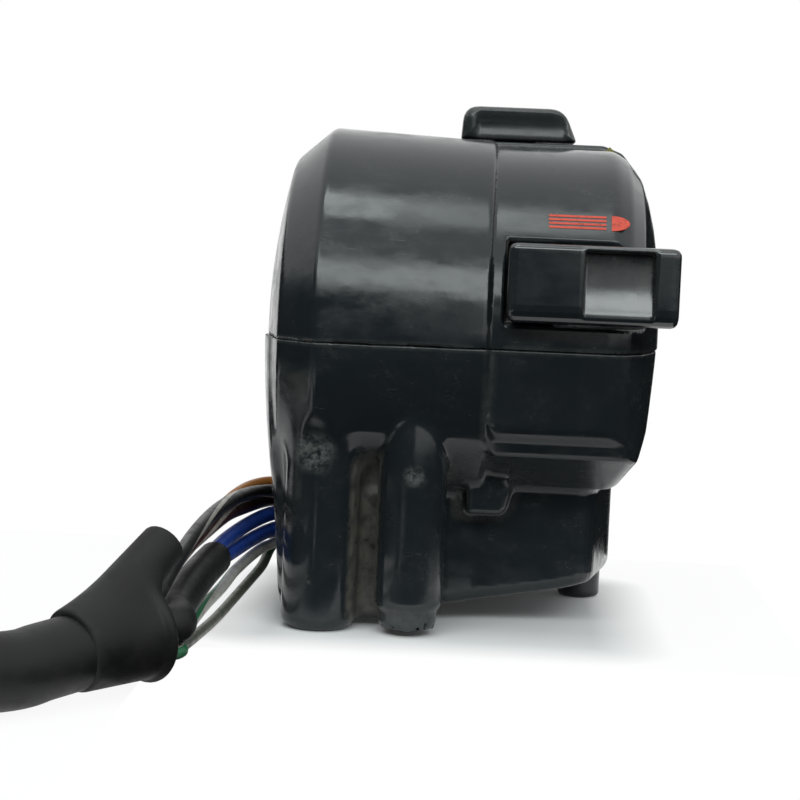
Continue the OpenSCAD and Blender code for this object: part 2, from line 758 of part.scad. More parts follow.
// Fasteners of the case
module case_screws() color("#3a3d40") for (at = screw_points) difference() {
    union() {
        rod_z(screw_d / 2, seat_z - eps, insert_len - 1, at);
        rod_z(head_d / 2, seat_z - washer_t - head_h, seat_z - washer_t, at);
        rod_z(screw_d / 2, seat_z - washer_t - eps, seat_z, at);
    }
    for (turn = [0, 90]) translate([at[0], at[1], seat_z - washer_t - head_h]) rotate([0, 0, turn])
        cube([head_d * 0.7, slot_w, 2 * slot_depth], center = true);
}
module screw_washers() color("#7d8083") for (at = screw_points) difference() {
    rod_z(head_d / 2, seat_z - washer_t, seat_z, at);
    rod_z(screw_d / 2 + fit_gap, seat_z - 2, seat_z + 1, at);
}
module threaded_inserts() color("#b08a3e") for (at = screw_points) difference() {
    rod_z(insert_d / 2, half_gap, insert_len + half_gap, at);
    rod_z(screw_d / 2 + fit_gap, -1, insert_len + 2, at);
}

// Flash trigger at the front
module flash_trigger() color("#191b1d") difference() {
    union() {
        side_prism([[trigger_face + trigger_top_round[0], trigger_top],
            [trigger_face + trigger_lean, trigger_top - trigger_top_round[1]],
            [trigger_face, trigger_low + trigger_low_round[1]],
            [trigger_face + trigger_low_round[0], trigger_low],
            [trigger_back - trigger_back_round[0], trigger_low],
            [trigger_back, trigger_low + trigger_back_round[1]],
            [trigger_back, trigger_top - trigger_back_round[1]],
            [trigger_back - trigger_back_round[0], trigger_top]], trigger_left, trigger_right);
        box([neck_left, trigger_back - 1, trigger_low + hub_step],
            [neck_left + neck_w, pivot_at[1], trigger_top - hub_step]);
        rod_z(hub_r, trigger_low + hub_step, trigger_top - hub_step, pivot_at);
        box([pivot_at[0], pivot_at[1] - arm_half, trigger_low + arm_step],
            [pivot_at[0] + arm_len, pivot_at[1] + arm_half, trigger_top - arm_step]);
    }
    rod_x(scoop_r, scoop_left, scoop_right, scoop_axis_y, scoop_axis_z);
    rod_z(pivot_r + fit_gap, 0, far, pivot_at);
    rod_y(flash_cup_r, trigger_back - flash_cup_depth, trigger_back + 1, flash_spring_x, flash_spring_z);
}
module flash_pivot_pin() color("#9a9c9e") rod_z(pivot_r, pivot_low, pivot_high, pivot_at);
module flash_spring() color("#8b8d90")
    translate([flash_spring_x, trigger_back - flash_cup_depth, flash_spring_z]) rotate([-90, 0, 0])
    spring(flash_spring_size, pocket_back + flash_seat_depth - trigger_back + flash_cup_depth);
module flash_base() color("#5a3a22") difference() {
    box([flash_base_left, flash_base_front, flash_base_low],
        [flash_base_right, flash_base_rear, flash_base_high]);
    for (x = flash_posts) rod_z(base_screw_d / 2 + bore_gap, 0, far, [x, flash_post_y]);
}
module flash_contacts() color("#b5883c") {
    low = trigger_low + flash_blade_step;
    high = trigger_top - flash_blade_step;
    right = flash_base_right - 0.6;
    blade = flash_base_front - flash_blade_gap;
    box([flash_base_left + 0.9, blade - flash_blade_t, low], [right, blade, high]);
    box([right - 2, blade - bore_gap, low], [right, flash_base_front, high]);
}

// Dimmer slider on top
module dimmer_knob() color("#1c1e20") {
    left = dimmer_left;
    right = dimmer_left + dimmer_w;
    difference() {
        front_prism([[left, dimmer_foot], [left, dimmer_top - dimmer_cheek_h],
            [left + dimmer_cheek / 3, dimmer_top - dimmer_cheek_h / 4], [left + dimmer_cheek, dimmer_top],
            [right - dimmer_slope - 1.4, dimmer_top], [right - dimmer_slope, dimmer_top - 0.8],
            [right, dimmer_foot]], dimmer_front, dimmer_rear);
        rod_x(dimmer_scoop_r, left + dimmer_cheek, right - dimmer_slope - run_gap,
            dimmer_front + dimmer_scoop_depth - dimmer_scoop_r, dimmer_top - dimmer_scoop_drop);
    }
    box([dimmer_stem_x, dimmer_stem_y, dimmer_low],
        [dimmer_stem_x + dimmer_stem_w, dimmer_stem_y + dimmer_stem_d, dimmer_foot + eps]);
}
module dimmer_carrier() color("#d8d3c4") difference() {
    box([dimmer_plate_left, dimmer_plate_front, dimmer_low],
        [dimmer_plate_right, dimmer_plate_rear, dimmer_high]);
    box([dimmer_stem_x - fit_gap, dimmer_stem_y - fit_gap, 0],
        [dimmer_stem_x + dimmer_stem_w + fit_gap, dimmer_stem_y + dimmer_stem_d + fit_gap, far]);
    rod_z(ball_r + run_gap, dimmer_low + ball_floor, far, dimmer_ball_at);
}
module dimmer_bridge() color("#b5883c") {
    box([dimmer_plate_left + 2, dimmer_plate_front + 0.4, dimmer_low - dimmer_bridge_t],
        [dimmer_plate_right - 2, dimmer_plate_rear - 0.4, dimmer_low]);
    for (x = [dimmer_plate_left + 3.4, dimmer_plate_right - 3.4])
        rod_z(dimmer_pip_r, dimmer_board_top + dimmer_pip_gap, dimmer_low - dimmer_bridge_t / 2,
            [x, dimmer_plate_front + 4]);
}
module dimmer_ball() color("#b9bbbd")
    translate([dimmer_ball_at[0], dimmer_ball_at[1], ball_z]) sphere(r = ball_r);
module dimmer_ball_spring() color("#8b8d90")
    translate([dimmer_ball_at[0], dimmer_ball_at[1], dimmer_low + ball_floor])
    spring([ball_spring_r, ball_spring_wire, 2], ball_z - ball_r - dimmer_low - ball_floor);
module dimmer_board() color("#6b4a2a") difference() {
    box([dimmer_board_left, dimmer_plate_front, dimmer_board_top - dimmer_board_t],
        [dimmer_board_right, dimmer_plate_rear + 1, dimmer_board_top]);
    for (x = dimmer_posts) rod_z(base_screw_d / 2 + bore_gap, 0, far, [x, dimmer_post_y]);
}
module dimmer_contacts() color("#b5883c") for (k = [0 : 2])
    translate([dimmer_plate_left + 2 + k * dimmer_travel, dimmer_plate_front + 1, dimmer_board_top])
    cube([dimmer_contact_w, dimmer_plate_rear - dimmer_plate_front - 2, contact_t]);

// Turn-signal slider on the rider's face
module turn_knob() color("#1c1e20") {
    w = turn_w / 2;
    h = turn_knob_h / 2;
    c = turn_chamfer;
    difference() {
        translate([turn_x, 0, turn_z]) front_prism([[-w, c - h], [c - w, -h], [w - c, -h], [w, c - h],
            [w, h - c], [w - c, h], [c - w, h], [-w, h - c]], turn_knob_foot, turn_knob_out);
        rod_z(turn_scoop_r, 0, far, [turn_x, turn_knob_out + turn_scoop_r - turn_scoop_depth]);
    }
    box([turn_x - turn_stem / 2, turn_stem_end, turn_z - turn_stem / 2],
        [turn_x + turn_stem / 2, turn_knob_foot + eps, turn_z + turn_stem / 2]);
}
module turn_carrier() color("#d8d3c4") difference() {
    half = turn_stem / 2 + run_gap;
    box([turn_x - turn_half, turn_plate_front, turn_z - turn_plate_half_h],
        [turn_x + turn_half, turn_plate_rear, turn_z + turn_plate_half_h]);
    box([turn_x - half, turn_plate_front + turn_floor, turn_z - half],
        [turn_x + half, rear_depth, turn_z + half]);
    rod_y(ball_r + run_gap, 0, turn_plate_front + turn_ball_hole, turn_x, turn_z - turn_ball_drop);
}
module turn_push_spring() color("#8b8d90")
    translate([turn_x, turn_plate_front + turn_floor, turn_z]) rotate([-90, 0, 0])
    spring(turn_spring_size, turn_stem_end - turn_plate_front - turn_floor);
module turn_bridge() color("#b5883c")
    box([turn_x - turn_bridge_half, turn_plate_front - turn_bridge_t, turn_z + turn_contact_low],
        [turn_x + turn_bridge_half, turn_plate_front, turn_z + turn_contact_high - contact_t]);
module turn_ball() color("#b9bbbd")
    translate([turn_x, turn_ball_y, turn_z - turn_ball_drop]) sphere(r = ball_r);
module turn_ball_spring() color("#8b8d90")
    translate([turn_x, turn_ball_y + ball_r, turn_z - turn_ball_drop]) rotate([-90, 0, 0])
    spring([ball_spring_r, ball_spring_wire, 4], turn_plate_front + turn_ball_hole - turn_ball_y - ball_r);
module turn_board() color("#6b4a2a") difference() {
    box([turn_x - turn_board_half, turn_board_rear - turn_board_t, turn_z - turn_board_low],
        [turn_x + turn_board_half, turn_board_rear, turn_z + turn_board_high]);
    for (x = turn_posts) rod_y(base_screw_d / 2 + bore_gap, 0, far, x, turn_z);
}
module turn_contacts() color("#b5883c") for (k = [-1 : 1])
    translate([turn_x + k * turn_contact_step, 0, turn_z])
    box([-turn_contact_half, turn_board_rear, turn_contact_low],
        [turn_contact_half, turn_board_rear + contact_t, turn_contact_high]);

// Horn button on the rider's face
module horn_button() color("#1c1e20") translate([horn_x, 0, horn_z]) rotate([-90, 0, 0]) rotate_extrude()
    polygon([[0, horn_clip_front - horn_tip], [horn_stem_r, horn_clip_front - horn_tip],
        [horn_stem_r, horn_clip_front], [horn_neck_r, horn_clip_front],
        [horn_neck_r, horn_clip_front + horn_clip_t], [horn_stem_r, horn_clip_front + horn_clip_t],
        [horn_stem_r, horn_flange_rear - horn_flange_t], [horn_flange_r, horn_flange_rear - horn_flange_t],
        [horn_flange_r, horn_flange_rear], [horn_r, horn_flange_rear], [horn_r, horn_out - horn_crown],
        [horn_r - horn_crown / 3, horn_out - horn_crown / 3], [horn_r - horn_crown, horn_out],
        [horn_r - horn_crown - 1, horn_out - horn_dish / 9], [horn_r * 0.3, horn_out - horn_dish + 0.1],
        [0, horn_out - horn_dish]]);
module horn_clip() color("#9a9c9e") difference() {
    rod_y(horn_clip_r, horn_clip_front, horn_clip_front + horn_clip_t, horn_x, horn_z);
    rod_y(horn_neck_r + fit_gap, 0, far, horn_x, horn_z);
    box([horn_x - horn_clip_slot / 2, 0, horn_z - far], [horn_x + horn_clip_slot / 2, far, horn_z]);
}
module horn_spring() color("#8b8d90")
    translate([horn_x, horn_base_rear, horn_z]) rotate([-90, 0, 0])
    spring(horn_spring_size, horn_flange_rear - horn_flange_t - horn_base_rear);
module horn_bridge() color("#b5883c") difference() {
    rear = horn_flange_rear - horn_flange_t;
    rod_y(horn_bridge_r, rear - horn_bridge_t, rear, horn_x, horn_z);
    rod_y(horn_bridge_hole, 0, far, horn_x, horn_z);
}
module horn_base() color("#5a3a22") difference() {
    box([horn_x - horn_base_half, horn_base_rear - horn_base_t, horn_z - horn_base_half_h],
        [horn_x + horn_base_half, horn_base_rear, horn_z + horn_base_half_h]);
    rod_y(horn_stem_r + run_gap, 0, far, horn_x, horn_z);
    for (x = horn_posts) rod_y(base_screw_d / 2 + bore_gap, 0, far, x, horn_z);
}
module horn_contacts() color("#b5883c") for (side = [-1, 1])
    rod_y(horn_contact_r, horn_base_rear, horn_base_rear + horn_contact_h,
        horn_x + side * horn_contact_x, horn_z);

// Small screws under each switch base: a shank in its post and a head on the board
module small_screw(length) {
    cylinder(r = base_screw_d / 2 - fit_gap, h = length);
    translate([0, 0, -small_head_h]) cylinder(r = small_head_r, h = small_head_h);
}
module base_screws() color("#8b8d90") {
    for (x = turn_posts) translate([x, turn_board_rear - turn_board_t, turn_z]) rotate([-90, 0, 0])
        small_screw(turn_board_t + thread_reach);
    for (x = dimmer_posts) translate([x, dimmer_post_y, dimmer_board_top - dimmer_board_t])
        small_screw(dimmer_board_t + thread_reach);
    for (x = horn_posts) translate([x, horn_base_rear - horn_base_t, horn_z]) rotate([-90, 0, 0])
        small_screw(horn_base_t + thread_reach);
    for (x = flash_posts) translate([x, flash_post_y, flash_base_low])
        small_screw(flash_base_high - flash_base_low + thread_reach);
    for (at = terminal_screws) translate([at[0], at[1], terminal_top]) rotate([180, 0, 0])
        small_screw(terminal_top - box_floor - 1);
}

// Wiring inside the lower half
module terminal_block() color("#2a2c2e") difference() {
    box([terminal_left, terminal_front, box_floor + wall], [terminal_right, terminal_rear, terminal_top]);
    for (at = terminal_screws) rod_z(base_screw_d / 2 + bore_gap, -far, 0, at);
}
module wire_hole(route, d) {
    rod_x(d / 2 + wire_room, straight_end - 4, terminal_left, route[1][1], route[1][2]);
}
module outlet_grommet() color("#101112") difference() {
    outlet_frame() {
        translate([0, 0, -wall - outlet_flange])
            oblong(outlet_w + 2 * outlet_rim, outlet_h + 2 * outlet_rim, outlet_flange);
        translate([0, 0, -wall - eps]) oblong(outlet_w - bore_gap, outlet_h - bore_gap, wall + 0.3);
    }
    wire_hole(wire_black_route, wire_black_d);
    wire_hole(wire_brown_route, wire_brown_d);
    wire_hole(wire_orange_route, wire_orange_d);
    wire_hole(wire_blue_upper_route, wire_blue_d);
    wire_hole(wire_blue_lower_route, wire_blue_d);
    wire_hole(wire_green_route, wire_green_d);
    wire_hole(wire_grey_route, wire_grey_d);
}

// Harness outside the case
module wire_black() color("#202024") tube(wire_path(wire_black_route, wire_black_seat), wire_black_d / 2, 8);
module wire_brown() color("#3a1f22") tube(wire_path(wire_brown_route, wire_brown_seat), wire_brown_d / 2, 8);
module wire_orange() color("#a5672a")
    tube(wire_path(wire_orange_route, wire_orange_seat), wire_orange_d / 2, 8);
module wire_green() color("#d9d6cd") tube(wire_path(wire_green_route, wire_green_seat), wire_green_d / 2, 8);
module wire_grey() color("#6b6e62") tube(wire_path(wire_grey_route, wire_grey_seat), wire_grey_d / 2, 8);
sleeve_axis = unit(sleeve_route[1] - sleeve_route[0]);
sleeve_up = across([0, 0, 1], sleeve_axis);
module blue_wire(route, side) {
    end = sleeve_top + side * wire_blue_gap * sleeve_up - wire_room * sleeve_axis;
    tube(smooth(concat(route, [end - 2 * wire_blue_d * sleeve_axis, end]), 2), wire_blue_d / 2, 8);
}
module wire_blue_upper() color("#2a55b8") blue_wire(wire_blue_upper_route, 1);
module wire_blue_lower() color("#2a55b8") blue_wire(wire_blue_lower_route, -1);
module wire_sleeve() color("#141516") tube(wire_path(sleeve_route, sleeve_seat), sleeve_d / 2, 10);

module harness_boot() color("#121314") difference() {
    union() {
        aim(mouth, tail) cylinder(r1 = boot_d / 2, r2 = sheath_d / 2 + 0.2, h = boot_len);
        aim(finger_tip, finger_root)
            cylinder(r1 = finger_tip_r, r2 = finger_root_r, h = norm(finger_root - finger_tip));
    }
    aim(mouth - boot_axis, tail) cylinder(r = boot_bore_r, h = boot_bore_len + 1);
    aim(finger_tip, finger_root) translate([0, 0, -1]) cylinder(r = finger_bore_r, h = finger_bore_len + 1);
}

// Put-away coil: a flat spiral, then a short inward bend to the connector
coil_end = coil_start - 360 * coil_turns;
coil_end_r = coil_r - coil_pitch * coil_turns;
coil_rings = round(coil_turns * coil_loop_rings);
function on_coil(a, r) = [coil_at[0] + r * cos(a), coil_at[1] + r * sin(a), cord_z];
bend_at = on_coil(coil_end, coil_end_r - tail_r);
function on_bend(a) = [bend_at[0] + tail_r * cos(a), bend_at[1] + tail_r * sin(a), cord_z];
coil_exit = coil_end - tail_turn;
exit_way = [sin(coil_exit), -cos(coil_exit), 0];
coil_first = on_coil(coil_start, coil_r);
coil_last = on_bend(coil_exit) + sheath_d * exit_way;
coil_points = concat([coil_first + [sheath_d, 0, 0]],
    [for (i = [0 : coil_rings]) let (t = i / coil_loop_rings)
        on_coil(coil_start - 360 * t, coil_r - coil_pitch * t)],
    [for (i = [1 : bend_steps]) on_bend(coil_end - tail_turn * i / bend_steps)], [coil_last]);
coil_gap = min([for (i = [0 : len(coil_points) - 1], k = [0 : len(coil_points) - 1])
    if (k - i > coil_loop_rings / 2) norm(coil_points[k] - coil_points[i])]) - sheath_d;
echo(coil_gap = coil_gap);
sheath_points = concat(sheath_route, [for (k = [2, 1, 0]) coil_points[0] + [k * sheath_d, 0, 0]]);
module harness_sheath() color("#131415") tube(smooth(sheath_points, 2), sheath_d / 2, 10);
module harness_coil() color("#131415") tube(coil_points, sheath_d / 2, 6);
module coil_tie() color("#1a1b1c") translate(on_coil(tie_angle, tie_mid_r)) rotate([0, 0, tie_angle])
    difference() {
        cube([coil_pitch + sheath_d + 4 * tie_t, tie_w, sheath_d + 2 * tie_t], center = true);
        cube([coil_pitch + sheath_d + 2 * tie_t, tie_w + 1, sheath_d + bore_gap], center = true);
    }
module at_connector() {
    translate(coil_last) rotate([0, 0, atan2(exit_way[1], exit_way[0])]) children();
}
module connector_housing() color("#e6e3da") at_connector() difference() {
    translate([0, -connector_w / 2, -connector_h / 2]) cube([connector_len, connector_w, connector_h]);
    translate([connector_len - connector_depth, connector_wall - connector_w / 2,
        connector_wall - connector_h / 2])
        cube([connector_depth + 1, connector_w - 2 * connector_wall, connector_h - 2 * connector_wall]);
}
module connector_pins() color("#b5883c") at_connector() for (y = pin_rows, z = pin_levels)
    translate([connector_len - connector_depth, y - pin_size[1] / 2, z - pin_size[2] / 2]) cube(pin_size);

upper_case();
lower_case();
case_screws();
screw_washers();
threaded_inserts();
flash_trigger();
flash_pivot_pin();
flash_spring();
flash_base();
flash_contacts();
dimmer_knob();
dimmer_carrier();
dimmer_bridge();
dimmer_ball();
dimmer_ball_spring();
dimmer_board();
dimmer_contacts();
turn_knob();
turn_push_spring();
turn_carrier();
turn_bridge();
turn_ball();
turn_ball_spring();
turn_board();
turn_contacts();
horn_button();
horn_spring();
horn_bridge();
horn_clip();
horn_base();
horn_contacts();
base_screws();
terminal_block();
outlet_grommet();
wire_black();
wire_brown();
wire_orange();
wire_blue_upper();
wire_blue_lower();
wire_green();
wire_grey();
wire_sleeve();
harness_boot();
harness_sheath();
harness_coil();
coil_tie();
connector_housing();
connector_pins();
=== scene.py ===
"""Left-hand handlebar switch cluster, dressed for its studio picture.

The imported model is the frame. Each sub-assembly is a class with its sizes in millimetres, taken from the
part's own source. Moulded shapes are solid fields that are joined with soft corners and turned into meshes.
"""
from __future__ import annotations

import json
import logging
import math
from dataclasses import dataclass, field
from enum import Enum
from typing import Callable, Iterable, Optional, Sequence

import bpy
import numpy as np
from mathutils import Matrix, Vector

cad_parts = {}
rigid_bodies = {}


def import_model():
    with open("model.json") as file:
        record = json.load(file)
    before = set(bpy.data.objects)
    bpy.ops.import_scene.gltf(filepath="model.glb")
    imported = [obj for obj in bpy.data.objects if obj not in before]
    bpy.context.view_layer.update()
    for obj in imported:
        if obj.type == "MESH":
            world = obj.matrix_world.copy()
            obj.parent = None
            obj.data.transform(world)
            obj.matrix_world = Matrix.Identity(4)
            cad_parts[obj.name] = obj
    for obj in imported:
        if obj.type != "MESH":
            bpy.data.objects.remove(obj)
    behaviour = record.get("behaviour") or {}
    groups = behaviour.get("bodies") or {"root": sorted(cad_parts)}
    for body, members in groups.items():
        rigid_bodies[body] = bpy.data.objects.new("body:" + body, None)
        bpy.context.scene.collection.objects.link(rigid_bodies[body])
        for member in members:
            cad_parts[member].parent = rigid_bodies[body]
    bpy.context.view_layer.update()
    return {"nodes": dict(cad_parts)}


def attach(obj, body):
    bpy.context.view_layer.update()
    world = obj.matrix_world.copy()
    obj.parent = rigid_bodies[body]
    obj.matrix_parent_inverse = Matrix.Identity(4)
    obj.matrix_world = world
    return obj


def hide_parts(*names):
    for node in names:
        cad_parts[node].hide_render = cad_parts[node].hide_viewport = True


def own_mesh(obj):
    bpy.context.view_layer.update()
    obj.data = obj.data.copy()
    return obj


LOG = logging.getLogger("switch_cluster")
MM = 0.001
Array = np.ndarray
Solid = Callable[[Array, Array, Array], Array]
Point = Sequence[float]
Colour = tuple[float, float, float]
Piece = bpy.types.Object
Material = bpy.types.Material
Socket = bpy.types.NodeSocket
Tree = bpy.types.NodeTree


class Body(str, Enum):
    """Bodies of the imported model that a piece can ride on."""

    CASE = "case"
    TRIGGER = "trigger"
    DIMMER = "dimmer"
    TURN_SLIDE = "turn_slide"
    TURN_BUTTON = "turn_button"
    HORN = "horn"


# Solid fields: distances in millimetres, negative inside


def blend_union(a: Array, b: Array, k: float) -> Array:
    """Joins two fields with an inner corner softened over k."""
    room = np.maximum(k - np.abs(a - b), 0.0)
    return np.minimum(a, b) - room * room * (0.25 / k)


def blend_common(a: Array, b: Array, k: float) -> Array:
    """Keeps what two fields share, with the outer corner rounded over k."""
    return -blend_union(-a, -b, k)


def blend_cut(a: Array, b: Array, k: float) -> Array:
    """Takes field b out of field a, with the new corner rounded over k."""
    return -blend_union(-a, b, k)


def off_axis(u: Array, v: Array, at: Point) -> Array:
    """Distance from an axis that stands at a place on the (u, v) plane."""
    return np.hypot(u - at[0], v - at[1])


def slab(along: Array, low: float, high: float) -> Array:
    """Field of the room between two parallel planes."""
    return np.maximum(low - along, along - high)


def block_field(x: Array, y: Array, z: Array, low: Point, high: Point, edge: float = 0.0) -> Array:
    """Field of an upright block.

    Args:
        x: First coordinates.
        y: Second coordinates.
        z: Third coordinates.
        low: Lowest corner.
        high: Highest corner.
        edge: Radius of its edges.

    Returns:
        The signed distance.
    """
    gaps = [np.maximum(a + edge - v, v - b + edge) for v, a, b in zip((x, y, z), low, high)]
    outer = sum(np.maximum(g, 0.0) ** 2 for g in gaps)
    inner = np.maximum(np.maximum(gaps[0], gaps[1]), gaps[2])
    return np.sqrt(outer) + np.minimum(inner, 0.0) - edge


def rod_field(off: Array, along: Array, r: float, low: float, high: float, edge: float = 0.0) -> Array:
    """Field of a round bar.

    Args:
        off: Distance from the bar's axis.
        along: Place along the axis.
        r: Radius.
        low: Place of the first end.
        high: Place of the last end.
        edge: Radius of the rims.

    Returns:
        The signed distance.
    """
    side = off - (r - edge)
    end = np.maximum(low + edge - along, along - high + edge)
    outer = np.hypot(np.maximum(side, 0.0), np.maximum(end, 0.0))
    return outer + np.minimum(np.maximum(side, end), 0.0) - edge


def outline_field(outline: Sequence[Point], u: Array, v: Array) -> Array:
    """Field of a closed flat outline.

    Args:
        outline: Corners in order.
        u: First coordinates.
        v: Second coordinates.

    Returns:
        The signed distance, negative inside.
    """
    corners = np.asarray(outline, float)
    best: Optional[Array] = None
    odd: Optional[Array] = None
    for (au, av), (bu, bv) in zip(corners, np.roll(corners, -1, axis=0)):
        eu, ev = bu - au, bv - av
        wu, wv = u - au, v - av
        t = np.clip((wu * eu + wv * ev) / (eu * eu + ev * ev), 0.0, 1.0)
        gap = (wu - eu * t) ** 2 + (wv - ev * t) ** 2
        slope = eu / ev if abs(ev) > 1e-9 else 0.0
        crossed = ((av > v) != (bv > v)) & (u < slope * (v - av) + au)
        best = gap if best is None else np.minimum(best, gap)
        odd = crossed if odd is None else odd ^ crossed
    return np.where(odd, -1.0, 1.0) * np.sqrt(best)


def rounded(corners: Sequence[Point], steps: int = 5) -> list[tuple[float, float]]:
    """Rounds the corners of an outline.

    Args:
        corners: (u, v) for a sharp corner, or (u, v, radius), in order.
        steps: Pieces of each arc.

    Returns:
        The rounded outline.
    """
    made: list[tuple[float, float]] = []
    for i, corner in enumerate(corners):
        p = np.array(corner[:2], float)
        a = np.array(corners[i - 1][:2], float) - p
        b = np.array(corners[(i + 1) % len(corners)][:2], float) - p
        la, lb = np.linalg.norm(a), np.linalg.norm(b)
        a, b = a / la, b / lb
        turn = math.acos(float(np.clip(a @ b, -1.0, 1.0)))
        r = corner[2] if len(corner) > 2 else 0.0
        reach = min(r / math.tan(turn / 2), 0.46 * la, 0.46 * lb)
        if reach < 1e-3:
            made.append((p[0], p[1]))
            continue
        for t in np.linspace(0.0, 1.0, steps + 1):
            q = (1 - t) ** 2 * (p + a * reach) + 2 * t * (1 - t) * p + t * t * (p + b * reach)
            made.append((q[0], q[1]))
    return made


class Turned:
    """Field of a shape turned about the bar's axis, kept as a table over (x, r)."""

    X0, X1, R1, STEP = -32.0, 32.0, 46.0, 0.1

    def __init__(self, outline: Sequence[Point]) -> None:
        """Fills the table from an outline of (x, r) corners.

        Args:
            outline: Corners as (x, r).
        """
        xs = np.arange(self.X0, self.X1 + self.STEP, self.STEP).reshape(-1, 1)
        rs = np.arange(0.0, self.R1 + self.STEP, self.STEP).reshape(1, -1)
        self.table = outline_field(outline, xs, rs)

    def __call__(self, x: Array, r: Array) -> Array:
        """Reads the distance at (x, r) between the table's points.

        Args:
            x: Places along the bar.
            r: Distances from the bar's axis.

        Returns:
            Signed distances.
        """
        i = np.clip((x - self.X0) / self.STEP, 0, self.table.shape[0] - 1.001)
        j = np.clip(r / self.STEP, 0, self.table.shape[1] - 1.001)
        i0, j0 = i.astype(int), j.astype(int)
        a, b = i - i0, j - j0
        t = self.table
        low = t[i0, j0] * (1 - b) + t[i0, j0 + 1] * b
        high = t[i0 + 1, j0] * (1 - b) + t[i0 + 1, j0 + 1] * b
        return low * (1 - a) + high * a


# Meshes from fields and routes


def linked(name: str, mesh: bpy.types.Mesh) -> Piece:
    """New object with that mesh, in the scene.

    Args:
        name: Name of the object.
        mesh: Its mesh.

    Returns:
        The object.
    """
    made = bpy.data.objects.new(name, mesh)
    bpy.context.scene.collection.objects.link(made)
    return made


@dataclass
class Skin:
    """Points, faces and point values of one mesh, in millimetres."""

    points: Array
    faces: list
    normals: Optional[Array] = None
    values: dict[str, Array] = field(default_factory=dict)
    uv: Optional[Array] = None

    def piece(self, name: str, finish: Material) -> Piece:
        """Makes the Blender object.

        Args:
            name: Name of the piece.
            finish: Its material.

        Returns:
            The object, at the origin, with its place in its mesh.
        """
        mesh = bpy.data.meshes.new(name)
        mesh.from_pydata((np.asarray(self.points) * MM).tolist(), [], self.faces)
        mesh.polygons.foreach_set("use_smooth", np.ones(len(mesh.polygons), bool))
        for key, value in self.values.items():
            mesh.attributes.new(key, "FLOAT", "POINT").data.foreach_set("value", value.astype(np.float32))
        if self.uv is not None:
            mesh.uv_layers.new(name="along").data.foreach_set("uv", self.uv.astype(np.float32).ravel())
        mesh.materials.append(finish)
        mesh.validate()
        mesh.update()
        if self.normals is not None:
            mesh.normals_split_custom_set_from_vertices(self.normals.tolist())
        return linked(name, mesh)


def slope_of(solid: Solid, p: Array, h: float = 0.04) -> Array:
    """Gradient of a field at a list of points, by central differences.

    Args:
        solid: The field.
        p: The points.
        h: Step of the differences.

    Returns:
        One gradient to each point.
    """
    x, y, z = p.T
    return np.stack([
        solid(x + h, y, z) - solid(x - h, y, z),
        solid(x, y + h, z) - solid(x, y - h, z),
        solid(x, y, z + h) - solid(x, y, z - h),
    ], axis=1) / (2 * h)


def skin_of(solid: Solid, low: Point, high: Point, step: float) -> Skin:
    """Turns a field into a closed mesh with one point in each cell that the surface crosses.

    Args:
        solid: The field.
        low: Lowest corner of the room that holds it.
        high: Highest corner.
        step: Size of a cell.

    Returns:
        The mesh, with its normals and with how deep in a recess or near an edge each point is.
    """
    start = np.asarray(low, float) - 1.5 * step
    counts = np.ceil((np.asarray(high, float) + 1.5 * step - start) / step).astype(int) + 1
    axes = [start[i] + step * np.arange(counts[i]) for i in range(3)]
    values = np.asarray(solid(*np.meshgrid(*axes, indexing="ij", sparse=True)))
    values = np.broadcast_to(values, tuple(counts))
    inside = values < 0
    cells = tuple(counts - 1)
    number = np.zeros(cells, np.int16)
    place = np.zeros(cells + (3,), np.float32)
    quads = []
    crossings = []
    for axis in range(3):
        first = np.take(values, range(counts[axis] - 1), axis)
        last = np.take(values, range(1, counts[axis]), axis)
        cut = (first < 0) != (last < 0)
        share = np.where(cut, first / np.where(cut, first - last, 1.0), 0.0)
        crossings.append(cut)
        u, w = (axis + 1) % 3, (axis + 2) % 3
        for du in (0, 1):
            for dw in (0, 1):
                window = [slice(None)] * 3
                window[u] = slice(du, counts[u] - 1 + du)
                window[w] = slice(dw, counts[w] - 1 + dw)
                hit = cut[tuple(window)]
                number += hit
                place[..., axis] += share[tuple(window)]
                place[..., u] += hit * du
                place[..., w] += hit * dw
    used = number > 0
    index = np.full(cells, -1, np.int64)
    index[used] = np.arange(int(used.sum()))
    base = np.argwhere(used)
    points = start + step * (base + place[used] / number[used][:, None])
    for axis in range(3):
        u, w = (axis + 1) % 3, (axis + 2) % 3
        window = [slice(None)] * 3
        window[u] = slice(1, counts[u] - 1)
        window[w] = slice(1, counts[w] - 1)
        at = np.argwhere(crossings[axis][tuple(window)])
        at[:, u] += 1
        at[:, w] += 1
        outward = inside[tuple(at.T)]
        ring = []
        for du, dw in ((-1, -1), (0, -1), (0, 0), (-1, 0)):
            cell = at.copy()
            cell[:, u] += du
            cell[:, w] += dw
            ring.append(index[tuple(cell.T)])
        quad = np.stack(ring, axis=1)
        quad[~outward] = quad[~outward][:, ::-1]
        quads.append(quad)
    for _ in range(2):
        slope = slope_of(solid, points)
        size = np.maximum((slope ** 2).sum(1), 0.2)
        gap = np.clip(solid(*points.T) / size, -0.7 * step, 0.7 * step)
        points = points - slope * gap[:, None]
    slope = slope_of(solid, points)
    normals = slope / np.maximum(np.linalg.norm(slope, axis=1), 1e-6)[:, None]
    reach, depth = 3.0, 0.7
    recess = np.clip(1.0 - solid(*(points + normals * reach).T) / reach, 0.0, 1.0)
    edge = np.clip(1.0 + solid(*(points - normals * depth).T) / depth, 0.0, 1.0)
    return Skin(points, np.concatenate(quads).tolist(), normals, {"recess": recess, "edge": edge})


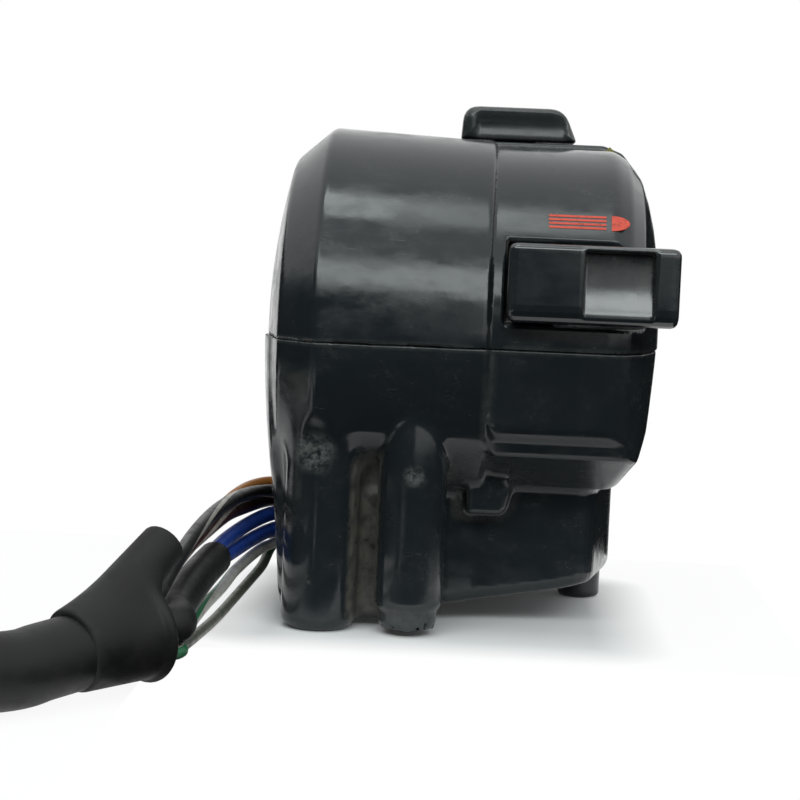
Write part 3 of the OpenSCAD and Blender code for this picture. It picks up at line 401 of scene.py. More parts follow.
def smooth_route(route: Sequence[Point], per: int) -> Array:
    """Points of a smooth curve through a route, with per points to each stretch.

    Args:
        route: Points to pass through.
        per: Points to each stretch.

    Returns:
        The points.
    """
    p = np.asarray(route, float)
    made = []
    for i in range(len(p) - 1):
        a, b = p[max(i - 1, 0)], p[i]
        c, d = p[i + 1], p[min(i + 2, len(p) - 1)]
        for k in range(per):
            t = k / per
            made.append(0.5 * (2 * b + (c - a) * t + (2 * a - 5 * b + 4 * c - d) * t * t
                               + (3 * b - a - 3 * c + d) * t ** 3))
    made.append(p[-1])
    return np.array(made)


def route_length(points: Array) -> float:
    """Length of a line through points."""
    return float(np.linalg.norm(np.diff(points, axis=0), axis=1).sum())


def unit(v: Array) -> Array:
    """The vector at length one."""
    return np.asarray(v, float) / np.linalg.norm(v)


def tube_skin(points: Array, r: float, sides: int, bore: float = 0.0, bore_rings: int = 0) -> Skin:
    """Round tube along points, with a UV map: u round it and v along it in millimetres.

    Args:
        points: Centreline.
        r: Outer radius.
        sides: Facets round it.
        bore: Radius of the hollow at its first end, or 0.
        bore_rings: Rings that the hollow goes in.

    Returns:
        The closed tube.
    """
    heads = np.gradient(points, axis=0)
    heads /= np.linalg.norm(heads, axis=1)[:, None]
    lead = np.array([0.0, 0.0, 1.0]) if abs(heads[0][2]) < 0.9 else np.array([1.0, 0.0, 0.0])
    sides_at = []
    for head in heads:
        lead = unit(lead - (lead @ head) * head)
        sides_at.append(lead)
    run = np.concatenate([[0.0], np.cumsum(np.linalg.norm(np.diff(points, axis=0), axis=1))])
    rings = [(i, r) for i in range(len(points))]
    if bore > 0:
        rings = [(i, bore) for i in range(bore_rings, -1, -1)] + rings
    turn = 2 * np.pi * np.arange(sides) / sides
    made = []
    for i, radius in rings:
        across = np.cross(heads[i], sides_at[i])
        ring = np.outer(np.cos(turn), sides_at[i]) + np.outer(np.sin(turn), across)
        made.append(points[i] + radius * ring)
    faces, uv = [], []
    for n in range(len(rings) - 1):
        v0, v1 = run[rings[n][0]], run[rings[n + 1][0]]
        for k in range(sides):
            k1 = (k + 1) % sides
            faces.append((n * sides + k, n * sides + k1, (n + 1) * sides + k1, (n + 1) * sides + k))
            uv += [(k / sides, v0), ((k + 1) / sides, v0), ((k + 1) / sides, v1), (k / sides, v1)]
    last = (len(rings) - 1) * sides
    faces.append(tuple(range(sides - 1, -1, -1)))
    faces.append(tuple(range(last, last + sides)))
    uv += [(0.5, run[rings[0][0]])] * sides + [(0.5, run[-1])] * sides
    return Skin(np.concatenate(made), faces, uv=np.array(uv))


# Materials


class Shade:
    """Builder of one material's nodes, round one Principled shader."""

    def __init__(self, name: str) -> None:
        """Starts an empty material of that name.

        Args:
            name: Name to use.
        """
        self.material = bpy.data.materials.new(name)
        self.material.use_nodes = True
        self.tree = self.material.node_tree
        self.tree.nodes.clear()
        self.shader = self.tree.nodes.new("ShaderNodeBsdfPrincipled")
        out = self.tree.nodes.new("ShaderNodeOutputMaterial")
        self.tree.links.new(self.shader.outputs[0], out.inputs[0])
        self.place = self.tree.nodes.new("ShaderNodeTexCoord").outputs["Object"]

    def feed(self, socket: Socket, value: object) -> None:
        """Links a socket to another, or sets its own value.

        Args:
            socket: Input to set.
            value: Value to use, or the socket that gives it.
        """
        if isinstance(value, Socket):
            self.tree.links.new(value, socket)
        elif value is not None:
            socket.default_value = value

    def set(self, **values: object) -> None:
        """Feeds the shader's inputs, named with _ for a space."""
        for key, value in values.items():
            self.feed(self.shader.inputs[key.replace("_", " ")], value)

    def attribute(self, name: str) -> Socket:
        """A point value of the mesh.

        Args:
            name: Name to use.

        Returns:
            The value's socket.
        """
        node = self.tree.nodes.new("ShaderNodeAttribute")
        node.attribute_name = name
        return node.outputs["Fac"]

    def stretched(self, scale: Point, source: Optional[Socket] = None) -> Socket:
        """Coordinates scaled by axis.

        Args:
            scale: Scale by axis.
            source: Coordinates to scale, or none for the object's own.

        Returns:
            The scaled coordinates.
        """
        node = self.tree.nodes.new("ShaderNodeMapping")
        node.inputs["Scale"].default_value = scale
        self.feed(node.inputs["Vector"], source or self.place)
        return node.outputs[0]

    def noise(self, size_mm: float, detail: float = 3.0, rough: float = 0.55,
              stretch: Optional[Point] = None) -> Socket:
        """Noise with features of about that size.

        Args:
            size_mm: Size of its features.
            detail: Finer levels on top.
            rough: Strength of the finer levels.
            stretch: Scale by axis, for smears.

        Returns:
            The noise, about 0.5 on average.
        """
        node = self.tree.nodes.new("ShaderNodeTexNoise")
        self.feed(node.inputs["Vector"], self.stretched(stretch) if stretch else self.place)
        node.inputs["Scale"].default_value = 1.0 / (size_mm * MM)
        node.inputs["Detail"].default_value = detail
        node.inputs["Roughness"].default_value = rough
        return node.outputs["Fac"]

    def span(self, value: Socket, low: float, high: float, to_low: float = 0.0,
             to_high: float = 1.0) -> Socket:
        """Maps a value from one range to another, and holds it there.

        Args:
            value: Value to use, or the socket that gives it.
            low: Start of its range.
            high: End of its range.
            to_low: Result at the start.
            to_high: Result at the end.

        Returns:
            The mapped value.
        """
        node = self.tree.nodes.new("ShaderNodeMapRange")
        self.feed(node.inputs[0], value)
        for socket, number in zip(node.inputs[1:5], (low, high, to_low, to_high)):
            socket.default_value = number
        return node.outputs[0]

    def sum(self, kind: str, a: object, b: object) -> Socket:
        """One step of arithmetic between two values, such as MULTIPLY.

        Args:
            kind: Name of the operation.
            a: First value.
            b: Second value.

        Returns:
            The result.
        """
        node = self.tree.nodes.new("ShaderNodeMath")
        node.operation = kind
        self.feed(node.inputs[0], a)
        self.feed(node.inputs[1], b)
        return node.outputs[0]

    def mix(self, share: Socket, a: object, b: object) -> Socket:
        """Colour between a and b.

        Args:
            share: Share of b.
            a: First value.
            b: Second value.

        Returns:
            The mixed colour.
        """
        node = self.tree.nodes.new("ShaderNodeMix")
        node.data_type = "RGBA"
        self.feed(node.inputs[0], share)
        self.feed(node.inputs[6], a)
        self.feed(node.inputs[7], b)
        return node.outputs[2]

    def bump(self, height: Socket, depth_mm: float) -> None:
        """Gives the surface a relief of that depth.

        Args:
            height: Height of the relief.
            depth_mm: Depth of the relief.
        """
        node = self.tree.nodes.new("ShaderNodeBump")
        node.inputs["Strength"].default_value = 1.0
        node.inputs["Distance"].default_value = depth_mm * MM
        self.feed(node.inputs["Height"], height)
        self.feed(self.shader.inputs["Normal"], node.outputs[0])

    def along(self) -> tuple[Socket, Socket]:
        """A cord's own UV map: round it, and along it in millimetres.

        Returns:
            The two sockets.
        """
        node = self.tree.nodes.new("ShaderNodeUVMap")
        node.uv_map = "along"
        parts = self.tree.nodes.new("ShaderNodeSeparateXYZ")
        self.feed(parts.inputs[0], node.outputs[0])
        return parts.outputs[0], parts.outputs[1]


def ink(colour: Colour) -> tuple[float, float, float, float]:
    """Colour with full cover."""
    return (*colour, 1.0)


@dataclass(frozen=True)
class WornPlastic:
    """Black moulded plastic that has been handled for years: smears, scratches, dust, rubbed edges, and pale
    scuffs that are partly painted highlights.
    """

    name: str
    colour: Colour = (0.0158, 0.0204, 0.0236)
    rubbed: Colour = (0.058, 0.062, 0.062)
    # Pale scuff colour, which also paints highlights on dented spots of the case.
    scuff_and_highlight_tone: Colour = (0.120, 0.126, 0.122)
    dust: Colour = (0.150, 0.139, 0.120)
    gloss_low: float = 0.09
    gloss_high: float = 0.28
    dust_share: float = 0.75
    grain_mm: float = 0.010
    shine: float = 0.5

    def make(self) -> Material:
        """Builds the material.

        Returns:
            The material.
        """
        s = Shade(self.name)
        s.set(Specular_IOR_Level=self.shine)
        blotch = s.noise(5.0, 4.0, 0.6)
        smear = s.noise(1.8, 3.0, 0.65, (0.35, 1.0, 1.0))
        speck = s.noise(0.7, 2.0, 0.5)
        settled = s.sum("MULTIPLY", s.span(s.attribute("recess"), 0.16, 0.62),
                        s.span(s.noise(1.6, 4.0, 0.65), 0.30, 0.60, 0.25, 1.0))
        settled = s.sum("MULTIPLY", settled, self.dust_share)
        film = s.sum("MULTIPLY", s.span(blotch, 0.48, 0.72), s.span(speck, 0.45, 0.75, 0.0, 0.10))
        # Scuffs: pale patches with a raised relief, partly painted highlights on the dented spots.
        scuff_and_highlight = s.sum("MULTIPLY", s.attribute("scuff_and_highlight"), s.span(s.noise(1.1, 5.0, 0.7), 0.40, 0.58))
        dusty = s.sum("MAXIMUM", settled, film)
        rubbed = s.sum("MULTIPLY", s.span(s.attribute("edge"), 0.14, 0.60, 0.0, 0.7),
                       s.span(s.noise(1.1, 3.0), 0.28, 0.66, 0.3, 1.0))
        lines = s.span(s.noise(0.30, 2.0, 0.5, (0.06, 1.0, 0.5)), 0.69, 0.78)
        lines = s.sum("MULTIPLY", lines, s.span(blotch, 0.46, 0.60))
        bared = s.sum("MAXIMUM", rubbed, s.sum("MULTIPLY", lines, 0.28))
        base = s.mix(scuff_and_highlight, s.mix(bared, ink(self.colour), ink(self.rubbed)), ink(self.scuff_and_highlight_tone))
        s.set(Base_Color=s.mix(dusty, base, ink(self.dust)))
        gloss = s.span(s.sum("ADD", s.sum("MULTIPLY", blotch, 0.5), s.sum("MULTIPLY", smear, 0.5)),
                       0.38, 0.62, self.gloss_low, self.gloss_high)
        dulled = s.sum("ADD", s.sum("MULTIPLY", dusty, 0.45), s.sum("MULTIPLY", lines, 0.12))
        s.set(Roughness=s.sum("ADD", gloss, dulled))
        relief = s.sum("ADD", s.sum("MULTIPLY", s.noise(0.35, 2.0), 0.3),
                       s.sum("MULTIPLY", s.noise(4.5, 2.0), 1.6))
        marks = s.sum("ADD", s.sum("MULTIPLY", lines, 0.4), s.sum("MULTIPLY", scuff_and_highlight, 2.0))
        relief = s.sum("ADD", relief, marks)
        s.bump(relief, self.grain_mm)
        return s.material


@dataclass(frozen=True)
class MouldedPlastic:
    """Plain moulded plastic or rubber with a fine grain."""

    name: str
    colour: Colour
    shade: Colour
    roughness: float = 0.45
    spread: float = 0.12
    grain_mm: float = 0.01
    size_mm: float = 2.5
    shine: float = 0.5

    def make(self) -> Material:
        """Builds the material.

        Returns:
            The material.
        """
        s = Shade(self.name)
        s.set(Specular_IOR_Level=self.shine)
        mottle = s.noise(self.size_mm, 4.0, 0.6)
        s.set(Base_Color=s.mix(s.span(mottle, 0.35, 0.65), ink(self.colour), ink(self.shade)))
        s.set(Roughness=s.span(mottle, 0.35, 0.65, self.roughness, self.roughness + self.spread))
        s.bump(s.noise(0.3, 3.0), self.grain_mm)
        return s.material


@dataclass(frozen=True)
class PlainMetal:
    """Bare or plated metal with fine drawn lines and light tarnish."""

    name: str
    colour: Colour
    tarnish: Colour
    roughness: float = 0.28

    def make(self) -> Material:
        """Builds the material.

        Returns:
            The material.
        """
        s = Shade(self.name)
        dull = s.span(s.noise(1.4, 4.0, 0.6), 0.42, 0.68)
        s.set(Base_Color=s.mix(dull, ink(self.colour), ink(self.tarnish)), Metallic=1.0)
        s.set(Roughness=s.span(s.noise(0.5, 3.0), 0.3, 0.7, self.roughness, self.roughness + 0.22))
        s.bump(s.noise(0.25, 2.0, 0.5, (0.15, 1.0, 1.0)), 0.004)
        return s.material


@dataclass(frozen=True)
class WireCover:
    """Vinyl on one wire, with or without a printed stripe."""

    name: str
    colour: Colour
    stripe: Optional[Colour] = None
    stripe_share: float = 0.2
    stripe_from: float = 0.0
    twist_mm: float = 90.0
    roughness: float = 0.38

    def make(self) -> Material:
        """Builds the material.

        Returns:
            The material.
        """
        s = Shade(self.name)
        turn, run = s.along()
        soil = s.span(s.noise(1.8, 4.0, 0.65), 0.48, 0.74, 0.0, 0.55)
        base: object = ink(self.colour)
        if self.stripe is not None:
            phase = s.sum("ADD", turn, s.sum("DIVIDE", run, self.twist_mm))
            phase = s.sum("ADD", phase, 1.0 - self.stripe_from)
            phase = s.sum("FRACT", phase, 0.0)
            share = s.sum("LESS_THAN", phase, self.stripe_share)
            base = s.mix(share, ink(self.colour), ink(self.stripe))
        grime = tuple(0.35 * c + 0.012 for c in self.colour)
        s.set(Base_Color=s.mix(soil, base, ink(grime)))
        s.set(Roughness=s.span(soil, 0.0, 0.55, self.roughness, self.roughness + 0.25))
        s.bump(s.noise(0.4, 2.0), 0.012)
        return s.material


@dataclass(frozen=True)
class PrintedPaint:
    """Screen-printed paint, a little rubbed."""

    name: str
    colour: Colour
    worn: Colour

    def make(self) -> Material:
        """Builds the material.

        Returns:
            The material.
        """
        s = Shade(self.name)
        rub = s.span(s.noise(0.5, 3.0, 0.6), 0.52, 0.72, 0.0, 0.7)
        s.set(Base_Color=s.mix(rub, ink(self.colour), ink(self.worn)))
        s.set(Roughness=s.span(rub, 0.0, 0.7, 0.42, 0.6))
        s.bump(s.noise(0.2, 2.0), 0.006)
        return s.material


@dataclass(frozen=True)
class FibreBoard:
    """Phenolic board: brown resin with paper fibres."""

    name: str
    colour: Colour
    fibre: Colour

    def make(self) -> Material:
        """Builds the material.

        Returns:
            The material.
        """
        s = Shade(self.name)
        threads = s.noise(0.6, 4.0, 0.7, (0.2, 1.0, 1.0))
        s.set(Base_Color=s.mix(s.span(threads, 0.4, 0.65), ink(self.colour), ink(self.fibre)))
        s.set(Roughness=s.span(threads, 0.3, 0.7, 0.42, 0.62))
        s.bump(threads, 0.01)
        return s.material


@dataclass
class Paintbox:
    """Every finish of the cluster, made once."""

    made: dict[str, Material] = field(default_factory=dict)

    FINISHES = (
        WornPlastic("case_plastic"),
        WornPlastic("trigger_plastic", gloss_low=0.12, gloss_high=0.24, dust_share=0.20, grain_mm=0.007,
                    shine=0.9),
        WornPlastic("knob_plastic", (0.021, 0.027, 0.028), gloss_low=0.22, gloss_high=0.36, dust_share=0.15),
        MouldedPlastic("boot_rubber", (0.0075, 0.0080, 0.0080), (0.014, 0.0138, 0.0132),
                       0.50, 0.18, 0.03, 3.0, 0.28),
        MouldedPlastic("grommet_rubber", (0.008, 0.008, 0.008), (0.014, 0.014, 0.013),
                       0.6, 0.15, 0.02, 2.5, 0.3),
        MouldedPlastic("sheath_vinyl", (0.0075, 0.0080, 0.0080), (0.013, 0.013, 0.0125),
                       0.42, 0.18, 0.03, 4.0, 0.28),
        MouldedPlastic("tie_nylon", (0.014, 0.014, 0.015), (0.022, 0.022, 0.022), 0.4, 0.1),
        MouldedPlastic("connector_nylon", (0.60, 0.57, 0.49), (0.50, 0.46, 0.38), 0.42, 0.14, 0.01, 3.0),
        MouldedPlastic("carrier_nylon", (0.62, 0.57, 0.44), (0.52, 0.46, 0.34), 0.42, 0.12),
        MouldedPlastic("terminal_plastic", (0.022, 0.023, 0.024), (0.034, 0.034, 0.034), 0.4, 0.15),
        FibreBoard("phenolic_board", (0.105, 0.045, 0.018), (0.16, 0.085, 0.04)),
        PlainMetal("zinc_steel", (0.42, 0.42, 0.40), (0.22, 0.21, 0.19), 0.36),
        PlainMetal("bright_steel", (0.60, 0.60, 0.59), (0.38, 0.37, 0.36), 0.22),
        PlainMetal("spring_steel", (0.48, 0.48, 0.48), (0.28, 0.27, 0.26), 0.28),
        PlainMetal("contact_brass", (0.62, 0.40, 0.13), (0.36, 0.22, 0.08), 0.26),
        WireCover("wire_black_vinyl", (0.012, 0.012, 0.013), (0.42, 0.40, 0.36), 0.09, 0.30),
        WireCover("wire_brown_vinyl", (0.052, 0.016, 0.014), (0.52, 0.46, 0.42), 0.10, 0.22),
        WireCover("wire_orange_vinyl", (0.40, 0.155, 0.035)),
        WireCover("wire_blue_vinyl", (0.022, 0.075, 0.42)),
        WireCover("wire_white_vinyl", (0.62, 0.60, 0.55), (0.010, 0.20, 0.075), 0.36, 0.40),
        WireCover("wire_grey_vinyl", (0.115, 0.125, 0.095)),
        PrintedPaint("sign_red", (0.68, 0.052, 0.018), (0.16, 0.02, 0.012)),
        PrintedPaint("sign_yellow", (0.27, 0.25, 0.06), (0.10, 0.095, 0.03)),
    )

    def mix_all(self) -> None:
        """Builds the materials."""
        for finish in self.FINISHES:
            self.made[finish.name] = finish.make()

    def __getitem__(self, name: str) -> Material:
        """The material of that name."""
        return self.made[name]


def place_piece(made: Piece, body: Body, slot: Optional[str], *nodes: str) -> Piece:
    """Lets a piece ride on a body in place of CAD nodes.

    Args:
        made: The piece.
        body: Body that carries it.
        slot: Material slot of the record, if it has one; not used.
        nodes: CAD nodes that it stands for.

    Returns:
        The same piece.
    """
    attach(made, body.value)
    if nodes:
        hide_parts(*nodes)
    LOG.info("%s: %d faces on %s", made.name, len(made.data.polygons), body.value)
    return made


# Sub-assemblies


@dataclass
class CaseShell:
    """Upper and lower moulded halves that clamp the bar.

    Outlines are drawn as (x, r) for the drums, (y, z) from the side, (x, z) from the front and (x, y)
    from above.
    """

    bar_r: float = 11.1
    wall: float = 2.2
    half_gap: float = 0.02
    left_x: float = -26.5
    seam_x: float = 3.6
    right_x: float = 26.3
    front: float = -28.0
    rear: float = 23.5
    crown_r: float = 27.9
    seam_r: float = 26.9
    right_r: float = 26.2
    base_z: float = -37.4
    lap_z: float = 4.0
    collar_r: float = 13.9
    collar_inset: float = 1.1
    block_x: tuple = (-20.5, 22.3)
    block_top: float = 23.5
    pad_y: tuple = (6.0, 20.5)
    pad_top: float = 27.2
    pocket: tuple = ((5.3, -60.0, 3.2), (60.0, -21.8, 13.85))
    neck_room: tuple = ((5.55, -60.0, 3.7), (13.5, -18.5, 13.4))
    hub_at: tuple = (9.0, -17.5)
    hub_r: float = 2.7
    spring_at: tuple = (19.5, 8.55)
    spring_seat_r: float = 2.6
    turn_slot: tuple = ((-4.9, 20.3, 5.1), (8.9, 30.0, 10.9))
    dimmer_slot: tuple = ((2.6, 10.6, 24.0), (14.4, 15.4, 30.0))
    horn_at: tuple = (-2.0, -13.0)
    horn_hole_r: float = 6.4
    screws: tuple = ((-5.3, -22.2), (-17.0, 18.4))
    screw_hole_r: float = 2.2
    head_hole_r: float = 3.1
    head_z: float = -27.4
    insert_r: float = 3.0
    insert_top: float = 8.1
    boss_r: float = 4.4
    boss_collar_r: float = 3.75
    boss_z: float = -18.0
    boss_rise: float = 15.0
    duct_at: tuple = (-17.0, -20.4)
    duct_r: float = 4.85
    box_base: float = -35.2
    step_x: tuple = (-7.1, 22.2)
    step_base: tuple = (-34.9, -31.7)
    block_front: float = -26.5
    foot_at: tuple = (18.2, 12.0)
    foot_r: float = 3.0
    foot_top: float = -30.5
    outlet_at: tuple = (-23.28, 3.6, -26.1)
    outlet_r: float = 4.5
    outlet_half: float = 1.0
    outlet_slope: float = 2.5 / 23.2
    web: tuple = ((-13.5, -26.0, -36.0), (-7.0, -14.0, -16.0))
    seam_reach: float = 1.8
    cell_top: float = 0.424
    cell_low: float = 0.47
    # Pale scuff patches, partly painted highlights: on the dent at the duct's top, on the front boss and low
    # on the duct.
    scuffs_and_highlights: tuple = (((-18.0, -25.0, -14.2), (3.4, 4.5, 3.0)), ((-4.9, -26.4, -16.6), (1.7, 3.0, 1.6)),
                     ((-18.0, -25.2, -30.6), (0.5, 2.0, 0.4)))

    def __post_init__(self) -> None:
        """Draws the drums' outlines, as (x, r)."""
        inner = -30.0
        dome = [(self.left_x + 3.2 * t * t, 23.6 * t) for t in np.linspace(0.0, 1.0, 9)]
        self.left = Turned(rounded([(self.seam_x, inner), (self.left_x, inner), *dome[:-1], (*dome[-1], 2.6),
                                    (-18.4, self.crown_r, 1.4), (self.seam_x, self.seam_r, 0.6)]))
        dome = [(self.right_x - 3.0 * t ** 3, 22.6 * t) for t in np.linspace(1.0, 0.0, 9)]
        self.right = Turned(rounded([(3.0, inner), (3.0, self.right_r), (19.5, self.right_r, 3.0),
                                     (21.4, 25.0, 3.0), (*dome[0], 3.0), *dome[1:], (self.right_x, inner)]))

    def collars(self, x: Array, r: Array) -> Array:
        """Rings inside both ends that grip the bar."""
        left = rod_field(r, x, self.collar_r, self.left_x + self.collar_inset, -17.3)
        return np.minimum(left, rod_field(r, x, self.collar_r, 17.1, self.right_x - self.collar_inset))

    def upper_outside(self, x: Array, y: Array, z: Array) -> Array:
        """Outside of the upper half: drums, rider's block and the dimmer's pad.

        Args:
            x: Places along the bar.
            y: Places across it.
            z: Heights.

        Returns:
            Signed distances.
        """
        r = np.sqrt(y * y + z * z)
        low, top, right = -self.lap_z, self.pad_top, self.block_x[1]
        drums = blend_union(self.left(x, r), self.right(x, r), 0.3)
        drums = blend_common(drums, y - self.rear, 1.2)
        side = rounded([(-2, low), (self.rear, low), (self.rear, 19.5, 2.5), (21.5, self.block_top, 2.5),
                        (-2, self.block_top)])
        block = blend_common(outline_field(side, y, z), slab(x, *self.block_x), 1.6)
        front = rounded([(-6, low), (-6, 26.0, 0.8), (-4.8, top, 0.8), (18.46, top, 2.0), (21.1, 26.2, 1.5),
                         (right, 24.8, 1.2), (right, low)])
        pad = blend_common(outline_field(front, x, z), slab(y, *self.pad_y), 0.7)
        return blend_union(blend_union(drums, block, 0.9), pad, 0.8)

    def upper_ribs(self, x: Array, y: Array, z: Array) -> Array:
        """Posts and walls inside the upper half.

        Args:
            x: Places along the bar.
            y: Places across it.
            z: Heights.

        Returns:
            Signed distances.
        """
        ribs = self.collars(x, np.sqrt(y * y + z * z))
        for ax, ay in self.screws:
            ribs = np.minimum(ribs, rod_field(np.hypot(x - ax, y - ay), z, 4.2, -1.0, 11.0, 0.4))
        hub = off_axis(x, y, self.hub_at)
        parts = [
            block_field(x, y, z, (self.seam_x, -23.1, -1.0), (self.right_x, -20.4, 14.5)),
            rod_field(hub, z, self.hub_r, -1.0, 3.2),
            block_field(x, y, z, (self.seam_x, -23.1, -1.0), (12.7, -14.8, 2.2)),
            rod_field(hub, z, self.hub_r, 13.9, 40.0),
        ]
        parts += [rod_field(np.hypot(x - at, y + 13.4), z, 1.7, 13.8, 40.0) for at in (11.8, 15.5)]
        parts += [rod_field(np.hypot(x - at, z - 8.0), y, 2.0, 13.9, self.rear) for at in (-11.5, 15.5)]
        parts += [rod_field(np.hypot(x - at, y - 16.6), z, 1.4, 18.4, self.pad_top) for at in (-2.3, 18.7)]
        for part in parts:
            ribs = np.minimum(ribs, part)
        return ribs

    def upper(self, x: Array, y: Array, z: Array) -> Array:
        """Field of the whole upper half.

        Args:
            x: Places along the bar.
            y: Places across it.
            z: Heights.

        Returns:
            Signed distances.
        """
        r = np.sqrt(y * y + z * z)
        out = self.upper_outside(x, y, z)
        shell = np.maximum(out, np.minimum(-(out + self.wall), self.upper_ribs(x, y, z)))
        shell = blend_cut(shell, r - self.bar_r, 0.4)
        shell = blend_cut(shell, block_field(x, y, z, *self.pocket, 0.4), 0.35)
        shell = np.maximum(shell, -block_field(x, y, z, *self.neck_room))
        off_spring = off_axis(x, z, self.spring_at)
        shell = np.maximum(shell, -rod_field(off_spring, y, self.spring_seat_r, -24.1, -21.9))
        for ax, ay in self.screws:
            off = np.hypot(x - ax, y - ay)
            shell = np.maximum(shell, -rod_field(off, z, self.insert_r, -1.0, self.insert_top))
            shell = np.maximum(shell, -rod_field(off, z, self.screw_hole_r, -1.0, 10.0))
        for slot in (self.turn_slot, self.dimmer_slot):
            shell = blend_cut(shell, block_field(x, y, z, *slot, 0.6), 0.5)
        return blend_common(shell, self.half_gap - z, 0.12)

    def wiring_box(self, x: Array, y: Array, z: Array) -> Array:
        """Box at the lower left that the wires leave from.

        Args:
            x: Places along the bar.
            y: Places across it.
            z: Heights.

        Returns:
            Signed distances.
        """
        top, base = self.lap_z, self.box_base
        front = rounded([(-25.7, top), (-24.8, -12), (-22.3, base, 2.2), (-3, base), (-3, top)])
        plan = rounded([(self.left_x, -9, 3.0), (-24.1, -18, 2.0), (-3, -18, 0.8), (-3, self.rear),
                        (-21.7, self.rear, 2.5), (self.left_x, 14.5, 3.0)])
        return blend_common(outline_field(front, x, z), outline_field(plan, x, y), 1.4)

    def step_box(self, x: Array, y: Array, z: Array) -> Array:
        """Stepped box under the trigger.

        Args:
            x: Places along the bar.
            y: Places across it.
            z: Heights.

        Returns:
            Signed distances.
        """
        (left, right), (low, high) = self.step_x, self.step_base
        plan = rounded([(left, -14.9), (-0.4, -14.9, 1.5), (3.0, -13.6, 3.0), (18.4, -13.6, 3.4),
                        (right, 4, 2.0), (right, self.rear, 1.5), (left, self.rear)])
        front = rounded([(left, self.lap_z), (left, low), (0.9, low, 0.6), (13.4, -32.7, 1.5),
                         (17.4, high, 2.4), (right, high, 1.5), (right, self.lap_z)])
        return blend_common(outline_field(plan, x, y), outline_field(front, x, z), 1.8)

    def trigger_block(self, x: Array, y: Array, z: Array) -> Array:
        """Block in front of the bar, under the trigger, with a lip that turns back to the step.

        Args:
            x: Places along the bar.
            y: Places across it.
            z: Heights.

        Returns:
            Signed distances.
        """
        face, top = self.block_front, self.lap_z
        side = rounded([(face, top), (face, -9.9, 0.9), (-24.9, -11.7, 0.9), (-24.0, -13.6, 1.0),
                        (-13.6, -18.7, 1.5), (self.rear, -18.7), (self.rear, top)])
        front = rounded([(3.9, top), (3.9, self.base_z), (19.6, -21, 1.0), (21.4, -18.2, 2.0),
                         (23.4, -13.9, 3.0), (24.6, -10.4, 3.0), (26.0, 0, 1.0), (26.0, top)])
        made = blend_common(outline_field(side, y, z), outline_field(front, x, z), 1.6)
        return blend_common(made, self.right(x, np.maximum(-y, 0.0)), 0.8)

    def columns(self, x: Array, y: Array, z: Array) -> list[Array]:
        """Screw bosses with their collars.

        Args:
            x: Places along the bar.
            y: Places across it.
            z: Heights.

        Returns:
            One field to each boss.
        """
        made = []
        for ax, ay in self.screws:
            off = np.hypot(x - ax, y - ay)
            rise = np.maximum(z - self.boss_z, 0.0) / self.boss_rise
            bullet = self.boss_r * (np.sqrt((off / self.boss_r) ** 2 + rise ** 2) - 1.0)
            boss = blend_common(bullet, self.base_z + 3.2 - z, 1.4)
            collar = rod_field(off, z, self.boss_collar_r, self.base_z, self.boss_z, 2.0)
            made.append(blend_union(boss, collar, 0.5))
        return made

    def lower_outside(self, x: Array, y: Array, z: Array) -> Array:
        """Outside of the lower half.

        Args:
            x: Places along the bar.
            y: Places across it.
            z: Heights.

        Returns:
            Signed distances.
        """
        r = np.sqrt(y * y + z * z)
        duct_x, duct_y = self.duct_at
        side = rounded([(-60, self.lap_z), (-60, -7), (-25.4, -11.8, 4.0), (-17.0, -19.0, 2.0),
                        (self.rear, -19.0), (self.rear, self.lap_z)])
        skirt = blend_common(outline_field(side, y, z), self.left(x, r), 1.0)
        out = blend_union(skirt, self.wiring_box(x, y, z), 2.5)
        out = blend_union(out, self.step_box(x, y, z), 2.4)
        out = blend_union(out, self.trigger_block(x, y, z), 1.3)
        duct = rod_field(np.hypot(x - duct_x, y - duct_y), z, self.duct_r, self.base_z, self.lap_z, 1.7)
        behind = block_field(x, y, z, (duct_x - self.duct_r, duct_y, self.box_base),
                             (duct_x + self.duct_r, 0.0, self.lap_z))
        out = blend_union(out, np.minimum(duct, behind), 1.8)
        web = block_field(x, y, z, (-13.5, -19.2, -36.4), (-6.0, -6.0, -19.0), 1.4)
        out = blend_union(out, web, 1.6)
        tab = outline_field(rounded([(1.6, -22.2, 0.6), (1.6, -14.6, 1.0), (5.6, -14.6, 2.2),
                                     (7.6, -18.6, 2.2), (6.6, -22.2, 1.5)]), x, z)
        out = blend_union(out, blend_common(tab, slab(y, -17.8, -10.0), 1.0), 0.9)
        band = block_field(x, y, z, (self.block_x[0], -2.0, -1.0),
                           (self.block_x[1], self.rear, self.lap_z), 0.5)
        out = blend_union(out, band, 0.4)
        for boss in self.columns(x, y, z):
            out = blend_union(out, boss, 0.8)
        off_foot = off_axis(x, y, self.foot_at)
        foot = rod_field(off_foot, z, self.foot_r, self.base_z, self.foot_top, 0.6)
        out = blend_union(out, foot, 0.6)
        nib = block_field(x, y, z, (24.6, -5.7, -4.0), (26.6, -4.3, -2.2), 0.5)
        out = blend_union(out, nib, 0.4)
        dent = np.sqrt((x + 18.0) ** 2 + (y + 30.6) ** 2 + (z + 13.8) ** 2) - 6.0
        return blend_cut(blend_common(out, y - self.rear, 1.0), dent, 0.6)

